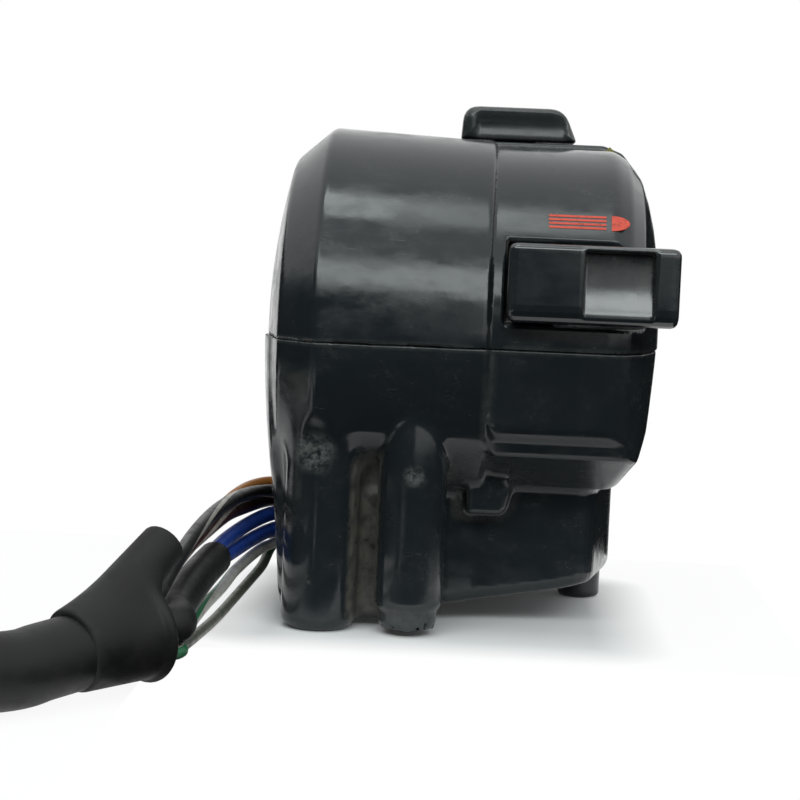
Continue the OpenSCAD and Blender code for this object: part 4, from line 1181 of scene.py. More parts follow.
    def lower(self, x: Array, y: Array, z: Array) -> Array:
        """Field of the whole lower half.

        Args:
            x: Places along the bar.
            y: Places across it.
            z: Heights.

        Returns:
            Signed distances.
        """
        r = np.sqrt(y * y + z * z)
        horn_x, horn_z = self.horn_at
        out = self.lower_outside(x, y, z)
        ribs = self.collars(x, r)
        for ax, ay in self.screws:
            ribs = np.minimum(ribs, np.hypot(x - ax, y - ay) - self.boss_r)
        for at in (-11.0, 7.0):
            ribs = np.minimum(ribs, rod_field(np.hypot(x - at, z - horn_z), y, 1.8, 14.3, self.rear))
        off_foot = off_axis(x, y, self.foot_at)
        ribs = np.minimum(ribs, rod_field(off_foot, z, self.foot_r, self.base_z, self.foot_top))
        shell = np.maximum(out, np.minimum(-(out + self.wall), ribs))
        shell = blend_cut(shell, r - self.bar_r, 0.4)
        for ax, ay in self.screws:
            off = np.hypot(x - ax, y - ay)
            shell = np.maximum(shell, -rod_field(off, z, self.screw_hole_r, -60.0, 1.0))
            shell = blend_cut(shell, rod_field(off, z, self.head_hole_r, -60.0, self.head_z), 0.3)
        horn = rod_field(np.hypot(x - horn_x, z - horn_z), y, self.horn_hole_r, 20.3, 40.0)
        shell = blend_cut(shell, horn, 0.5)
        lean = math.atan(self.outlet_slope)
        out_x, out_y, out_z = self.outlet_at
        up = (z - out_z) * math.cos(lean) - (x - out_x) * math.sin(lean)
        outlet = np.hypot(y - out_y, np.maximum(np.abs(up) - self.outlet_half, 0.0)) - self.outlet_r
        shell = blend_cut(shell, np.maximum(outlet, x + 17.0), 0.4)
        return blend_common(shell, z + self.half_gap, 0.12)

    def weather(self, top: Skin, low: Skin) -> None:
        """Sets where dust, rubbed edges and scuffs with painted highlights show: most in the lower half's
        web, least at the seam.

        Args:
            top: Skin of the upper half.
            low: Skin of the lower half.
        """
        in_web = np.clip(1.0 - block_field(*low.points.T, *self.web) / 3.0, 0.0, 1.0)
        low.values["recess"] = low.values["recess"] * (0.4 + 0.6 * in_web)
        top.values["recess"] = top.values["recess"] * 0.5
        at_seam = np.abs(top.points[:, 0] - self.seam_x) < self.seam_reach
        top.values["edge"] = np.where(at_seam, 0.3, 1.0) * top.values["edge"]
        # Scuff patches of the lower half, which also paint highlights there.
        for at, reach in self.scuffs_and_highlights:
            gap = np.linalg.norm((low.points - at) / reach, axis=1)
            scuff_and_highlight = np.clip(1.6 - 1.6 * gap, 0.0, 1.0)
            low.values["scuff_and_highlight"] = np.maximum(low.values.get("scuff_and_highlight", 0.0), scuff_and_highlight)

    def build(self, paints: Paintbox) -> list[Piece]:
        """Makes both halves.

        Args:
            paints: The finishes.

        Returns:
            The pieces.
        """
        top = skin_of(self.upper, (self.left_x, self.front, 0.0), (self.right_x, self.rear, self.pad_top),
                      self.cell_top)
        low = skin_of(self.lower, (self.left_x, self.front, self.base_z), (self.right_x, self.rear, 0.0),
                      self.cell_low)
        self.weather(top, low)
        made = []
        for skin, node in ((top, "upper_case"), (low, "lower_case")):
            piece = skin.piece(node.replace("_", "_half_"), paints["case_plastic"])
            made.append(place_piece(piece, Body.CASE, "case_plastic", node))
        return made


@dataclass
class FlashTrigger:
    """Lever at the front that flashes the headlamp."""

    left: float = 5.65
    right: float = 26.9
    low: float = 3.6
    top: float = 13.5
    face: float = -30.6
    back: float = -25.6
    hub_back: float = -14.8
    pivot: tuple = (9.0, -17.5)
    hub_r: float = 2.7
    hub_z: tuple = (4.1, 13.0)
    pin_r: float = 1.25
    scoop_r: float = 16.0
    scoop_x: tuple = (15.1, 23.7)
    scoop_top: float = 12.9
    seat_at: tuple = (19.0, 8.55)
    seat_r: float = 2.6
    seat_half: float = 0.5
    cell: float = 0.2

    def solid(self, x: Array, y: Array, z: Array) -> Array:
        """Field of the lever with its neck, hub and scoop.

        Args:
            x: Places along the bar.
            y: Places across it.
            z: Heights.

        Returns:
            Signed distances.
        """
        hub_low, hub_top = self.hub_z
        side = rounded([(self.face, self.low, 2.5), (self.back, self.low, 0.8), (self.back, self.top, 0.8),
                        (self.face + 0.2, self.top, 0.9)])
        body = blend_common(outline_field(side, y, z), slab(x, self.left, self.right), 1.2)
        neck = block_field(x, y, z, (6.3, -26.6, hub_low), (11.7, self.pivot[1], hub_top), 0.4)
        off = off_axis(x, y, self.pivot)
        hub = rod_field(off, z, self.hub_r, hub_low, hub_top, 0.3)
        arm = block_field(x, y, z, (9.0, -18.6, 7.2), (16.6, -16.4, 9.9), 0.3)
        made = blend_union(blend_union(body, neck, 0.5), np.minimum(hub, arm), 0.4)
        off_scoop = np.hypot(y - self.face - 1.8 + self.scoop_r, z - 11.5)
        scoop = rod_field(off_scoop, x, self.scoop_r, *self.scoop_x, 0.3)
        made = blend_cut(made, blend_common(scoop, z - self.scoop_top, 0.5), 0.55)
        made = np.maximum(made, self.pin_r - off)
        aside = np.maximum(np.abs(x - self.seat_at[0]) - self.seat_half, 0.0)
        off_seat = np.hypot(aside, z - self.seat_at[1])
        return np.maximum(made, -rod_field(off_seat, y, self.seat_r, -27.3, -20.0))

    def build(self, paints: Paintbox) -> Piece:
        """Makes the lever and lets it ride on its hinge.

        Args:
            paints: The finishes.

        Returns:
            The piece.
        """
        skin = skin_of(self.solid, (self.left, self.face, self.low), (self.right, self.hub_back, self.top),
                       self.cell)
        piece = skin.piece("flash_lever", paints["trigger_plastic"])
        return place_piece(piece, Body.TRIGGER, "trigger_plastic", "flash_trigger")


@dataclass
class DimmerSlider:
    """Knob on top that changes between the lamp's beams."""

    left: float = -1.6
    right: float = 14.8
    foot: float = 27.5
    top: float = 32.2
    front: float = 8.0
    rear: float = 17.4
    stem_low: tuple = (3.0, 11.0, 20.3)
    stem_far: tuple = (9.0, 15.0)
    scoop_at: tuple = (6.7, 29.6)
    scoop_r: float = 2.3
    cell: float = 0.2

    def solid(self, x: Array, y: Array, z: Array) -> Array:
        """Field of the knob on its stem.

        Args:
            x: Places along the bar.
            y: Places across it.
            z: Heights.

        Returns:
            Signed distances.
        """
        outline = rounded([(self.left, self.foot, 0.3), (self.left + 0.3, self.top, 2.4),
                           (self.right - 2.0, self.top, 3.0), (self.right, self.foot, 0.4)])
        knob = blend_common(outline_field(outline, x, z), slab(y, self.front, self.rear), 1.8)
        off = off_axis(y, z, self.scoop_at)
        scoop = rod_field(off, x, self.scoop_r, self.left + 2.2, self.right - 1.6, 0.6)
        knob = blend_cut(knob, scoop, 0.9)
        stem = block_field(x, y, z, self.stem_low, (*self.stem_far, self.foot + 0.6), 0.2)
        return np.minimum(knob, stem)

    def build(self, paints: Paintbox) -> Piece:
        """Makes the knob and lets it ride on its slide.

        Args:
            paints: The finishes.

        Returns:
            The piece.
        """
        skin = skin_of(self.solid, (self.left, self.front, self.stem_low[2]),
                       (self.right, self.rear, self.top), self.cell)
        piece = skin.piece("dimmer_thumb_knob", paints["knob_plastic"])
        return place_piece(piece, Body.DIMMER, "knob_plastic", "dimmer_knob")


@dataclass
class RiderControls:
    """Turn-signal knob and horn button on the rider's face."""

    turn_at: tuple = (2.0, 8.0)
    turn_half: tuple = (5.5, 4.5)
    turn_stem: float = 2.5
    turn_back: float = 19.7
    turn_foot: float = 26.1
    turn_out: float = 31.5
    rib_pitch: float = 1.2
    horn_at: tuple = (-2.0, -13.0)
    horn_r: float = 6.0
    horn_rim_r: float = 7.2
    horn_stem_r: float = 1.8
    horn_back: float = 10.9
    horn_out: float = 28.5
    cell: float = 0.2

    def turn_solid(self, x: Array, y: Array, z: Array) -> Array:
        """Field of the turn-signal knob on its square stem.

        Args:
            x: Places along the bar.
            y: Places across it.
            z: Heights.

        Returns:
            Signed distances.
        """
        u, v = x - self.turn_at[0], z - self.turn_at[1]
        half_u, half_v = self.turn_half
        knob = block_field(u, y, v, (-half_u, self.turn_foot, -half_v), (half_u, self.turn_out, half_v), 1.0)
        scoop = np.hypot(u, y - self.turn_out - 7.6) - 9.0
        knob = blend_cut(knob, scoop, 0.6)
        step = self.rib_pitch / 2
        comb = np.abs((np.abs(u) + step) % self.rib_pitch - step) - 0.22
        ribs = np.maximum(comb, np.maximum(np.abs(u) - 3.2, np.abs(v) - 3.4))
        knob = blend_cut(knob, np.maximum(ribs, scoop - 0.3), 0.2)
        stem = self.turn_stem
        return np.minimum(knob, block_field(u, y, v, (-stem, self.turn_back, -stem),
                                            (stem, self.turn_foot + 0.6, stem), 0.2))

    def horn_solid(self, x: Array, y: Array, z: Array) -> Array:
        """Field of the horn button, turned about its own axis.

        Args:
            x: Places along the bar.
            y: Places across it.
            z: Heights.

        Returns:
            Signed distances.
        """
        r = off_axis(x, z, self.horn_at)
        back, out, stem, rim = self.horn_back, self.horn_out, self.horn_stem_r, self.horn_rim_r
        clip_r, inner = 1.3, -9.0
        outline = [(inner, back), (stem, back, 0.3), (stem, 11.5), (clip_r, 11.5), (clip_r, 12.1),
                   (stem, 12.1),
                   (stem, 19.0), (rim, 19.0, 0.2), (rim, 20.9, 0.2), (self.horn_r, 20.9),
                   (self.horn_r, out, 1.4),
                   (4.4, out, 0.8), (2.4, 27.7, 2.0), (0.0, 27.6), (inner, 27.6)]
        return outline_field(rounded(outline), r, y)

    def build(self, paints: Paintbox) -> list[Piece]:
        """Makes the knob and the button, each on its own body.

        Args:
            paints: The finishes.

        Returns:
            The pieces.
        """
        turn = skin_of(self.turn_solid, (-3.5, self.turn_back, 3.5), (7.5, self.turn_out, 12.5), self.cell)
        horn = skin_of(self.horn_solid, (-9.2, self.horn_back, -20.2), (5.2, self.horn_out, -5.8), self.cell)
        first = turn.piece("turn_signal_knob", paints["knob_plastic"])
        second = horn.piece("horn_push_button", paints["knob_plastic"])
        return [place_piece(first, Body.TURN_BUTTON, "knob_plastic", "turn_knob"),
                place_piece(second, Body.HORN, "knob_plastic", "horn_button")]


@dataclass
class WireRun:
    """One loose wire from the case to the boot."""

    node: str
    finish: str
    diameter: float
    seat: Optional[tuple]
    route: list
    side: float = 0.0


@dataclass
class Harness:
    """Loose wires, their boot, and the sheath that ends in a put-away coil and a connector."""

    start_x: float = -12.1
    mouth: tuple = (-32.6, -60.0, -31.0)
    tail: tuple = (-39.6, -68.4, -32.1)
    mouth_r: float = 5.2
    tail_r: float = 4.4
    finger_tip: tuple = (-31.8, -55.6, -21.6)
    finger_root: tuple = (-38.4, -66.6, -30.4)
    sheath_d: float = 8.4
    cord_z: float = -32.5
    coil_at: tuple = (-108.0, -50.0)
    coil_r: float = 46.0
    coil_pitch: float = 9.2
    coil_turns: float = 1.15
    bend_r: float = 22.0
    bend_turn: float = 85.0
    sleeve_d: float = 4.4
    sleeve_seat: tuple = (-1.8, 0.6)
    sleeve_route: tuple = ((-30.3, -24, -28.6), (-30.8, -33, -29), (-31, -42, -29.5), (-30.9, -52, -30.2))

    def __post_init__(self) -> None:
        """Sets the boot's own directions and the coil's line."""
        self.axis = unit(np.subtract(self.tail, self.mouth))
        self.aside = unit(np.cross(self.axis, (0.0, 0.0, 1.0)))
        self.upward = np.cross(self.aside, self.axis)
        self.sleeve_axis = unit(np.subtract(self.sleeve_route[1], self.sleeve_route[0]))
        up = np.array([0.0, 0.0, 1.0])
        self.sleeve_up = unit(up - (up @ self.sleeve_axis) * self.sleeve_axis)

    def in_boot(self, seat: tuple, depth: float) -> Array:
        """Point in the boot, from its seat across and its depth."""
        return np.array(self.mouth) + depth * self.axis + seat[0] * self.aside + seat[1] * self.upward

    def wires(self) -> list[WireRun]:
        """Facts and routes of the loose wires.

        Returns:
            The wires in order.
        """
        s = self.start_x
        return [
            WireRun("wire_black", "wire_black_vinyl", 1.8, (2.2, 2.6),
                    [(s, 1.8, -23), (-24.4, 1.8, -23), (-26.8, 0.6, -22.9), (-28.4, -5, -22.6),
                     (-29.6, -14, -22.4), (-30.6, -26, -22.7), (-31.2, -38, -23.6), (-31.6, -49, -25.2)]),
            WireRun("wire_brown", "wire_brown_vinyl", 1.8, (3.4, 0.8),
                    [(s, 4.2, -24.6), (-24.2, 4.2, -24.6), (-26.8, 3, -24.6), (-28.9, -4.5, -24.6),
                     (-30.2, -14, -24.4), (-31.1, -26, -24.7), (-32.2, -38, -25.4), (-33.8, -49, -26.6)]),
            WireRun("wire_orange", "wire_orange_vinyl", 1.6, (2.6, -1.9),
                    [(s, 5.2, -22.2), (-24.4, 5.2, -22.2), (-27.4, 4.2, -22.2), (-29.8, 0, -22.8),
                     (-31.6, -6, -24.2), (-33, -12, -26.4), (-34.2, -22, -28.2), (-34.6, -34, -29.2),
                     (-34.6, -48, -30.2)]),
            WireRun("wire_green", "wire_white_vinyl", 1.5, (-2.4, -2.4),
                    [(s, 2.6, -30.3), (-23.6, 2.6, -30.3), (-26, 1, -30.6), (-27.2, -3.5, -30.9),
                     (-28.9, -12.5, -32), (-29.7, -20, -33), (-30.5, -31, -33.5), (-30.8, -44, -33.8),
                     (-30.8, -53, -33.6)]),
            WireRun("wire_grey", "wire_grey_vinyl", 1.4, (0.0, -3.5),
                    [(s, 4.9, -29.6), (-24, 4.9, -29.6), (-25.8, 3.6, -31.2), (-26.6, -0.4, -33.2),
                     (-27.6, -5, -34.4), (-28.8, -12.5, -35.6), (-29.8, -22, -36.4),
                     (-30.4, -31, -36.4), (-31.2, -44, -36),
                     (-31.6, -53, -35.2)]),
            WireRun("wire_blue_upper", "wire_blue_vinyl", 2.0, None,
                    [(s, 2.2, -26.2), (-24, 2.2, -26.2), (-26.2, 1.2, -26.3), (-28.3, -5.5, -26.8),
                     (-29.6, -14, -27.2)], 1.0),
            WireRun("wire_blue_lower", "wire_blue_vinyl", 2.0, None,
                    [(s, 2.2, -28.3), (-23.8, 2.2, -28.3), (-25.9, 1.2, -28.5), (-27.7, -5, -28.9),
                     (-29.2, -13, -29.3)], -1.0),
        ]

    def wire_line(self, wire: WireRun) -> Array:
        """Centreline of one wire, into the boot or the sleeve.

        Args:
            wire: The wire.

        Returns:
            Points of the line.
        """
        if wire.seat is not None:
            ends = [self.in_boot(wire.seat, depth) for depth in (-2.5, 1.0, 7.6)]
        else:
            top = np.array(self.sleeve_route[0]) + wire.side * 1.02 * self.sleeve_up
            ends = [top + along * self.sleeve_axis for along in (-4.15, -0.15, 3.0)]
        return smooth_route([*wire.route, *ends], 6)

    def on_coil(self, angle: float, r: float) -> Array:
        """Point on the coil's plane, at an angle in degrees and a radius."""
        a = math.radians(angle)
        return np.array([self.coil_at[0] + r * math.cos(a), self.coil_at[1] + r * math.sin(a), self.cord_z])

    def coil_line(self) -> Array:
        """Centreline of the coil, from its lead-in to the connector.

        Returns:
            Points of the line.
        """
        rings = round(self.coil_turns * 48)
        on_coil = self.on_coil
        line = [on_coil(-90.0, self.coil_r) + (k * self.sheath_d, 0.0, 0.0) for k in (1.0, 0.5)]
        line += [on_coil(-90.0 - 7.5 * i, self.coil_r - self.coil_pitch * i / 48) for i in range(rings + 1)]
        end = -90.0 - 360.0 * self.coil_turns
        centre = on_coil(end, self.coil_r - self.coil_pitch * self.coil_turns - self.bend_r)
        for i in range(1, 13):
            a = math.radians(end - self.bend_turn * i / 12)
            line.append(centre + self.bend_r * np.array([math.cos(a), math.sin(a), 0.0]))
        leave = math.radians(end - self.bend_turn)
        self.leave = np.array([math.sin(leave), -math.cos(leave), 0.0])
        line += [line[-1] + self.sheath_d * share * self.leave for share in (0.5, 1.0)]
        return np.array(line)

    def sheath_line(self) -> Array:
        """Whole centreline of the sheath: out of the boot, over the floor and round the coil.

        Returns:
            Points of the line.
        """
        coil = self.coil_line()
        tail = np.array(self.tail)
        lead = [tail + k * self.axis for k in (-3.0, 0.0, 4.0, 8.0)]
        floor = [(-51, -80.5, self.cord_z), (-60, -87, self.cord_z), (-71, -92.8, self.cord_z)]
        run = [coil[0] + (k * self.sheath_d, 0.0, 0.0) for k in (2.0, 1.0, 0.0)]
        return np.concatenate([smooth_route([*lead, *floor, *run], 6), coil[1:]])

    def boot_solid(self, x: Array, y: Array, z: Array) -> Array:
        """Field of the rubber boot: a tapered collar with a finger on its side, both open at the front.

        Args:
            x: Places along the bar.
            y: Places across it.
            z: Heights.

        Returns:
            Signed distances.
        """
        def taper(a: Point, b: Point, ra: float, rb: float) -> tuple[Array, Array, float]:
            """Distance from a cone's side, place along its axis, and its length.

            Args:
                a: Middle of the first end.
                b: Middle of the last end.
                ra: Radius at a.
                rb: Radius at b.

            Returns:
                Signed distances, places along the axis, and the length.
            """
            d = np.subtract(b, a)
            size = float(np.linalg.norm(d))
            d = d / size
            along = (x - a[0]) * d[0] + (y - a[1]) * d[1] + (z - a[2]) * d[2]
            off2 = (x - a[0]) ** 2 + (y - a[1]) ** 2 + (z - a[2]) ** 2 - along ** 2
            off = np.sqrt(np.maximum(off2, 0.0))
            return off - (ra + (rb - ra) * along / size), along, size

        side, along, size = taper(self.mouth, self.tail, self.mouth_r, self.tail_r)
        collar = blend_common(side, slab(along, 0.0, size), 0.8)
        bead = np.hypot(side + 0.1, along - 1.0) - 0.55
        collar = blend_union(collar, bead, 0.6)
        bore = np.maximum(side + 0.75, slab(along, -4.0, 8.0))
        side2, along2, size2 = taper(self.finger_tip, self.finger_root, 2.6, 3.3)
        finger = blend_common(side2, slab(along2, 0.0, size2), 0.6)
        hole = np.maximum(side2 + 0.7, slab(along2, -4.0, 7.0))
        made = blend_union(collar, finger, 2.6)
        return blend_cut(blend_cut(made, bore, 0.35), hole, 0.35)

    def build_wires(self, paints: Paintbox) -> None:
        """Makes the loose wires and their sleeve.

        Args:
            paints: The finishes.
        """
        for wire in self.wires():
            line = self.wire_line(wire)
            piece = tube_skin(line, wire.diameter / 2, 16).piece(wire.node + "_lead", paints[wire.finish])
            place_piece(piece, Body.CASE, wire.finish, wire.node)
            np.array(wire.route[1]) * MM
            route_length(line) * MM
        ends = [self.in_boot(self.sleeve_seat, depth) for depth in (-2.5, 1.0, 7.6)]
        line = smooth_route([*self.sleeve_route, *ends], 6)
        sleeve = tube_skin(line, self.sleeve_d / 2, 20, 2.06, 3)
        piece = sleeve.piece("wire_sleeve_tube", paints["sheath_vinyl"])
        place_piece(piece, Body.CASE, "sheath_vinyl", "wire_sleeve")
        np.array(self.sleeve_route[0]) * MM
        route_length(line) * MM

    def build_sheath(self, paints: Paintbox) -> None:
        """Makes the boot, the sheath with its coil, the tie and the connector.

        Args:
            paints: The finishes.
        """
        boot = skin_of(self.boot_solid, (-46.0, -74.0, -37.4), (-26.5, -51.5, -18.0), 0.26)
        boot_piece = boot.piece("harness_boot_moulding", paints["boot_rubber"])
        place_piece(boot_piece, Body.CASE, "boot_rubber", "harness_boot")
        line = self.sheath_line()
        sheath = tube_skin(line, self.sheath_d / 2, 28).piece("harness_sheath_tube", paints["sheath_vinyl"])
        place_piece(sheath, Body.CASE, "sheath_vinyl", "harness_sheath", "harness_coil")
        tie = self.tie_skin().piece("coil_tie_strap", paints["tie_nylon"])
        place_piece(tie, Body.CASE, "tie_nylon", "coil_tie")
        plug = self.connector_skin().piece("connector_shell", paints["connector_nylon"])
        place_piece(plug, Body.CASE, "connector_nylon", "connector_housing")
        np.array(self.tail) * MM
        route_length(line) * MM

    def local(self, origin: Array, turn: float) -> Callable[[Array], Array]:
        """Placing of a skin's points from a local frame that is turned about Z.

        Args:
            origin: Where its own origin goes.
            turn: Turn about Z, in radians.

        Returns:
            The function that places points.
        """
        c, s = math.cos(turn), math.sin(turn)
        spin = np.array([[c, -s, 0.0], [s, c, 0.0], [0.0, 0.0, 1.0]])
        return lambda p: p @ spin.T + origin

    def put(self, skin: Skin, origin: Array, turn: float) -> Skin:
        """Moves a skin from its local frame to its place.

        Args:
            skin: Skin to move.
            origin: Where its own origin goes.
            turn: Turn about Z, in radians.

        Returns:
            The same skin.
        """
        skin.points = self.local(origin, turn)(skin.points)
        skin.normals = self.local(np.zeros(3), turn)(skin.normals)
        return skin

    def tie_skin(self) -> Skin:
        """Strap round two turns of the coil, with its locking head on top.

        Returns:
            The strap's skin.
        """
        half_w = (self.coil_pitch + self.sheath_d) / 2
        half_h = self.sheath_d / 2

        def strap(x: Array, y: Array, z: Array) -> Array:
            """Field of the strap, with its band across Y.

            Args:
                x: Places along the bar.
                y: Places across it.
                z: Heights.

            Returns:
                Signed distances.
            """
            ring = block_field(x, y * 0.0, z, (-half_w - 1.1, -1.0, -half_h - 0.6),
                               (half_w + 1.1, 1.0, half_h + 0.6))
            flat = np.hypot(np.maximum(np.abs(x) - self.coil_pitch / 2, 0.0), z) - half_h
            band = np.maximum(np.maximum(flat - 0.6, -(flat - 0.05)), ring)
            band = blend_common(band, np.abs(y) - 2.5, 0.3)
            head = block_field(x, y, z, (-2.4, -2.5, half_h - 0.1), (2.4, 2.5, half_h + 0.6), 0.25)
            return blend_union(band, head, 0.3)

        angle = -90.0 - 27.0
        mid = self.coil_r - self.coil_pitch * (27.0 / 360.0 + 0.5)
        origin = self.on_coil(angle, mid)
        skin = skin_of(strap, (-half_w - 1.2, -2.5, -half_h - 0.6), (half_w + 1.2, 2.5, half_h + 0.6), 0.24)
        return self.put(skin, origin, math.radians(angle))

    def connector_skin(self) -> Skin:
        """Connector shell with its pin well, ribs and a latch.

        Returns:
            The shell's skin.
        """
        def shell(x: Array, y: Array, z: Array) -> Array:
            """Field of the shell, with its pins along X.

            Args:
                x: Places along the bar.
                y: Places across it.
                z: Heights.

            Returns:
                Signed distances.
            """
            body = block_field(x, y, z, (0.0, -6.0, -4.2), (22.0, 6.0, 4.2), 0.6)
            waist = block_field(x, y, z, (2.4, -7.0, 3.5), (9.0, 7.0, 6.0), 0.3)
            body = blend_cut(body, waist, 0.3)
            latch = block_field(x, y, z, (3.2, -2.2, 2.6), (13.0, 2.2, 4.2), 0.4)
            body = blend_union(body, latch, 0.4)
            for side in (-1.0, 1.0):
                slot = block_field(x, y, z, (9.6, side * 2.9 - 0.35, 3.4), (21.0, side * 2.9 + 0.35, 6.0))
                body = blend_cut(body, slot, 0.2)
            well = block_field(x, y, z, (14.0, -4.8, -3.0), (30.0, 4.8, 3.0), 0.4)
            return blend_cut(body, well, 0.3)

        origin = self.coil_line()[-1]
        skin = skin_of(shell, (0.0, -6.0, -4.2), (22.0, 6.0, 4.2), 0.26)
        return self.put(skin, origin, math.atan2(self.leave[1], self.leave[0]))


@dataclass
class Markings:
    """Printed signs: a red beam sign over the trigger and a small yellow triangle by the dimmer."""

    drum_r: float = 26.2
    middle_z: float = 16.35
    half_h: float = 1.22
    lamp_x: tuple = (18.6, 20.9)
    bar_x: tuple = (10.6, 17.9)
    bars: int = 4
    bar_t: float = 0.34
    proud: float = 0.05

    def on_drum(self, outline: Sequence[Point]) -> tuple[list, list]:
        """Plate that follows the drum, from an outline of (x, height along the drum).

        Args:
            outline: Corners in order, without holes and star-shaped about their middle.

        Returns:
            Points and faces of a closed thin plate.
        """
        start = math.asin(self.middle_z / self.drum_r)
        flat = np.asarray(outline, float)
        flat = np.vstack([flat, flat.mean(0)])
        n = len(outline)
        points = []
        for r in (self.drum_r + self.proud, self.drum_r - 0.1):
            for x, h in flat:
                a = start + h / self.drum_r
                points.append((x, -r * math.cos(a), r * math.sin(a)))
        faces = []
        for k in range(n):
            j = (k + 1) % n
            faces.append((k, j, n))
            faces.append((n + 1 + j, n + 1 + k, 2 * n + 1))
            faces.append((k, n + 1 + k, n + 1 + j, j))
        return points, faces

    def gather(self, name: str, parts: Iterable[tuple[list, list]], finish: Material,
               slot: Optional[str]) -> None:
        """Joins plates into one piece on the case.

        Args:
            name: Name to use.
            parts: Points and faces of each plate.
            finish: Material of the piece.
            slot: Material slot of the record, if it has one.
        """
        points: list = []
        faces: list = []
        for part_points, part_faces in parts:
            base = len(points)
            points += part_points
            faces += [tuple(i + base for i in f) for f in part_faces]
        piece = Skin(np.array(points), faces).piece(name, finish)
        piece.data.polygons.foreach_set("use_smooth", np.zeros(len(faces), bool))
        place_piece(piece, Body.CASE, slot)

    def build(self, paints: Paintbox) -> None:
        """Prints the signs.

        Args:
            paints: The finishes.
        """
        bow = [(self.lamp_x[0] + (self.lamp_x[1] - self.lamp_x[0]) * math.sin(a), self.half_h * math.cos(a))
               for a in np.linspace(0.0, math.pi, 17)]
        parts = [self.on_drum(bow)]
        for k in range(self.bars):
            h = self.half_h * (1.0 - 2.0 * (k + 0.5) / self.bars)
            low, high = h - self.bar_t / 2, h + self.bar_t / 2
            parts.append(self.on_drum([(self.bar_x[0], low), (self.bar_x[0], high), (self.bar_x[1], high),
                                       (self.bar_x[1], low)]))
        self.gather("beam_sign", parts, paints["sign_red"], None)
        corners = [(18.0, 25.75), (20.6, 25.75), (19.3, 27.05)]
        points = [(x, y, z) for y in (5.94, 6.1) for x, z in corners]
        faces = [(0, 1, 2), (5, 4, 3), (0, 3, 4, 1), (1, 4, 5, 2), (2, 5, 3, 0)]
        self.gather("dimmer_sign", [(points, faces)], paints["sign_yellow"], None)


class Growth:
    """Builder of one Geometry Nodes tree, from its named inputs to Realize Instances and Set Material."""

    def __init__(self, name: str, inputs: Sequence[tuple[str, str]]) -> None:
        """Starts a tree.

        Args:
            name: Name of the tree.
            inputs: Name and kind of each input between the geometry and the finish.
        """
        self.tree = bpy.data.node_groups.new(name, "GeometryNodeTree")
        face = self.tree.interface
        for label, kind in (("Geometry", "Geometry"), *inputs, ("Finish", "Material")):
            face.new_socket(label, in_out="INPUT", socket_type="NodeSocket" + kind)
        face.new_socket("Geometry", in_out="OUTPUT", socket_type="NodeSocketGeometry")
        self.given = self.tree.nodes.new("NodeGroupInput").outputs

    def node(self, kind: str, *flow: Socket, **inputs: object) -> bpy.types.Node:
        """Adds a node.

        Args:
            kind: Kind of the node.
            flow: Sockets that lead to its first input.
            inputs: Its other inputs, named with _ for a space, as sockets or values.

        Returns:
            The node.
        """
        made = self.tree.nodes.new("GeometryNode" + kind)
        for source in flow:
            self.tree.links.new(source, made.inputs[0])
        for key, value in inputs.items():
            socket = made.inputs[key.replace("_", " ")]
            if isinstance(value, Socket):
                self.tree.links.new(value, socket)
            else:
                socket.default_value = value
        return made

    def point_vector(self, name: str) -> Socket:
        """A vector that each point of the mesh holds.

        Args:
            name: Name of the vector.

        Returns:
            Its socket.
        """
        made = self.tree.nodes.new("GeometryNodeInputNamedAttribute")
        made.data_type = "FLOAT_VECTOR"
        made.inputs["Name"].default_value = name
        return made.outputs["Attribute"]

    def end(self, geometry: Socket) -> Tree:
        """Ends the tree in real, painted faces.

        Args:
            geometry: What the tree has made.

        Returns:
            The tree.
        """
        real = self.node("RealizeInstances", geometry)
        paint = self.node("SetMaterial", real.outputs[0], Material=self.given["Finish"])
        out = self.tree.nodes.new("NodeGroupOutput")
        self.tree.links.new(paint.outputs[0], out.inputs[0])
        return self.tree


@dataclass(frozen=True)
class CoilSpring:
    """One coil spring: its place, its size, and the joint that presses it."""

    node: str
    body: Body
    foot: tuple
    radius: float
    wire: float
    turns: float
    length: float
    lies: bool = True
    joint: str = ""
    anchor: tuple = ()
    keep: float = 1.0


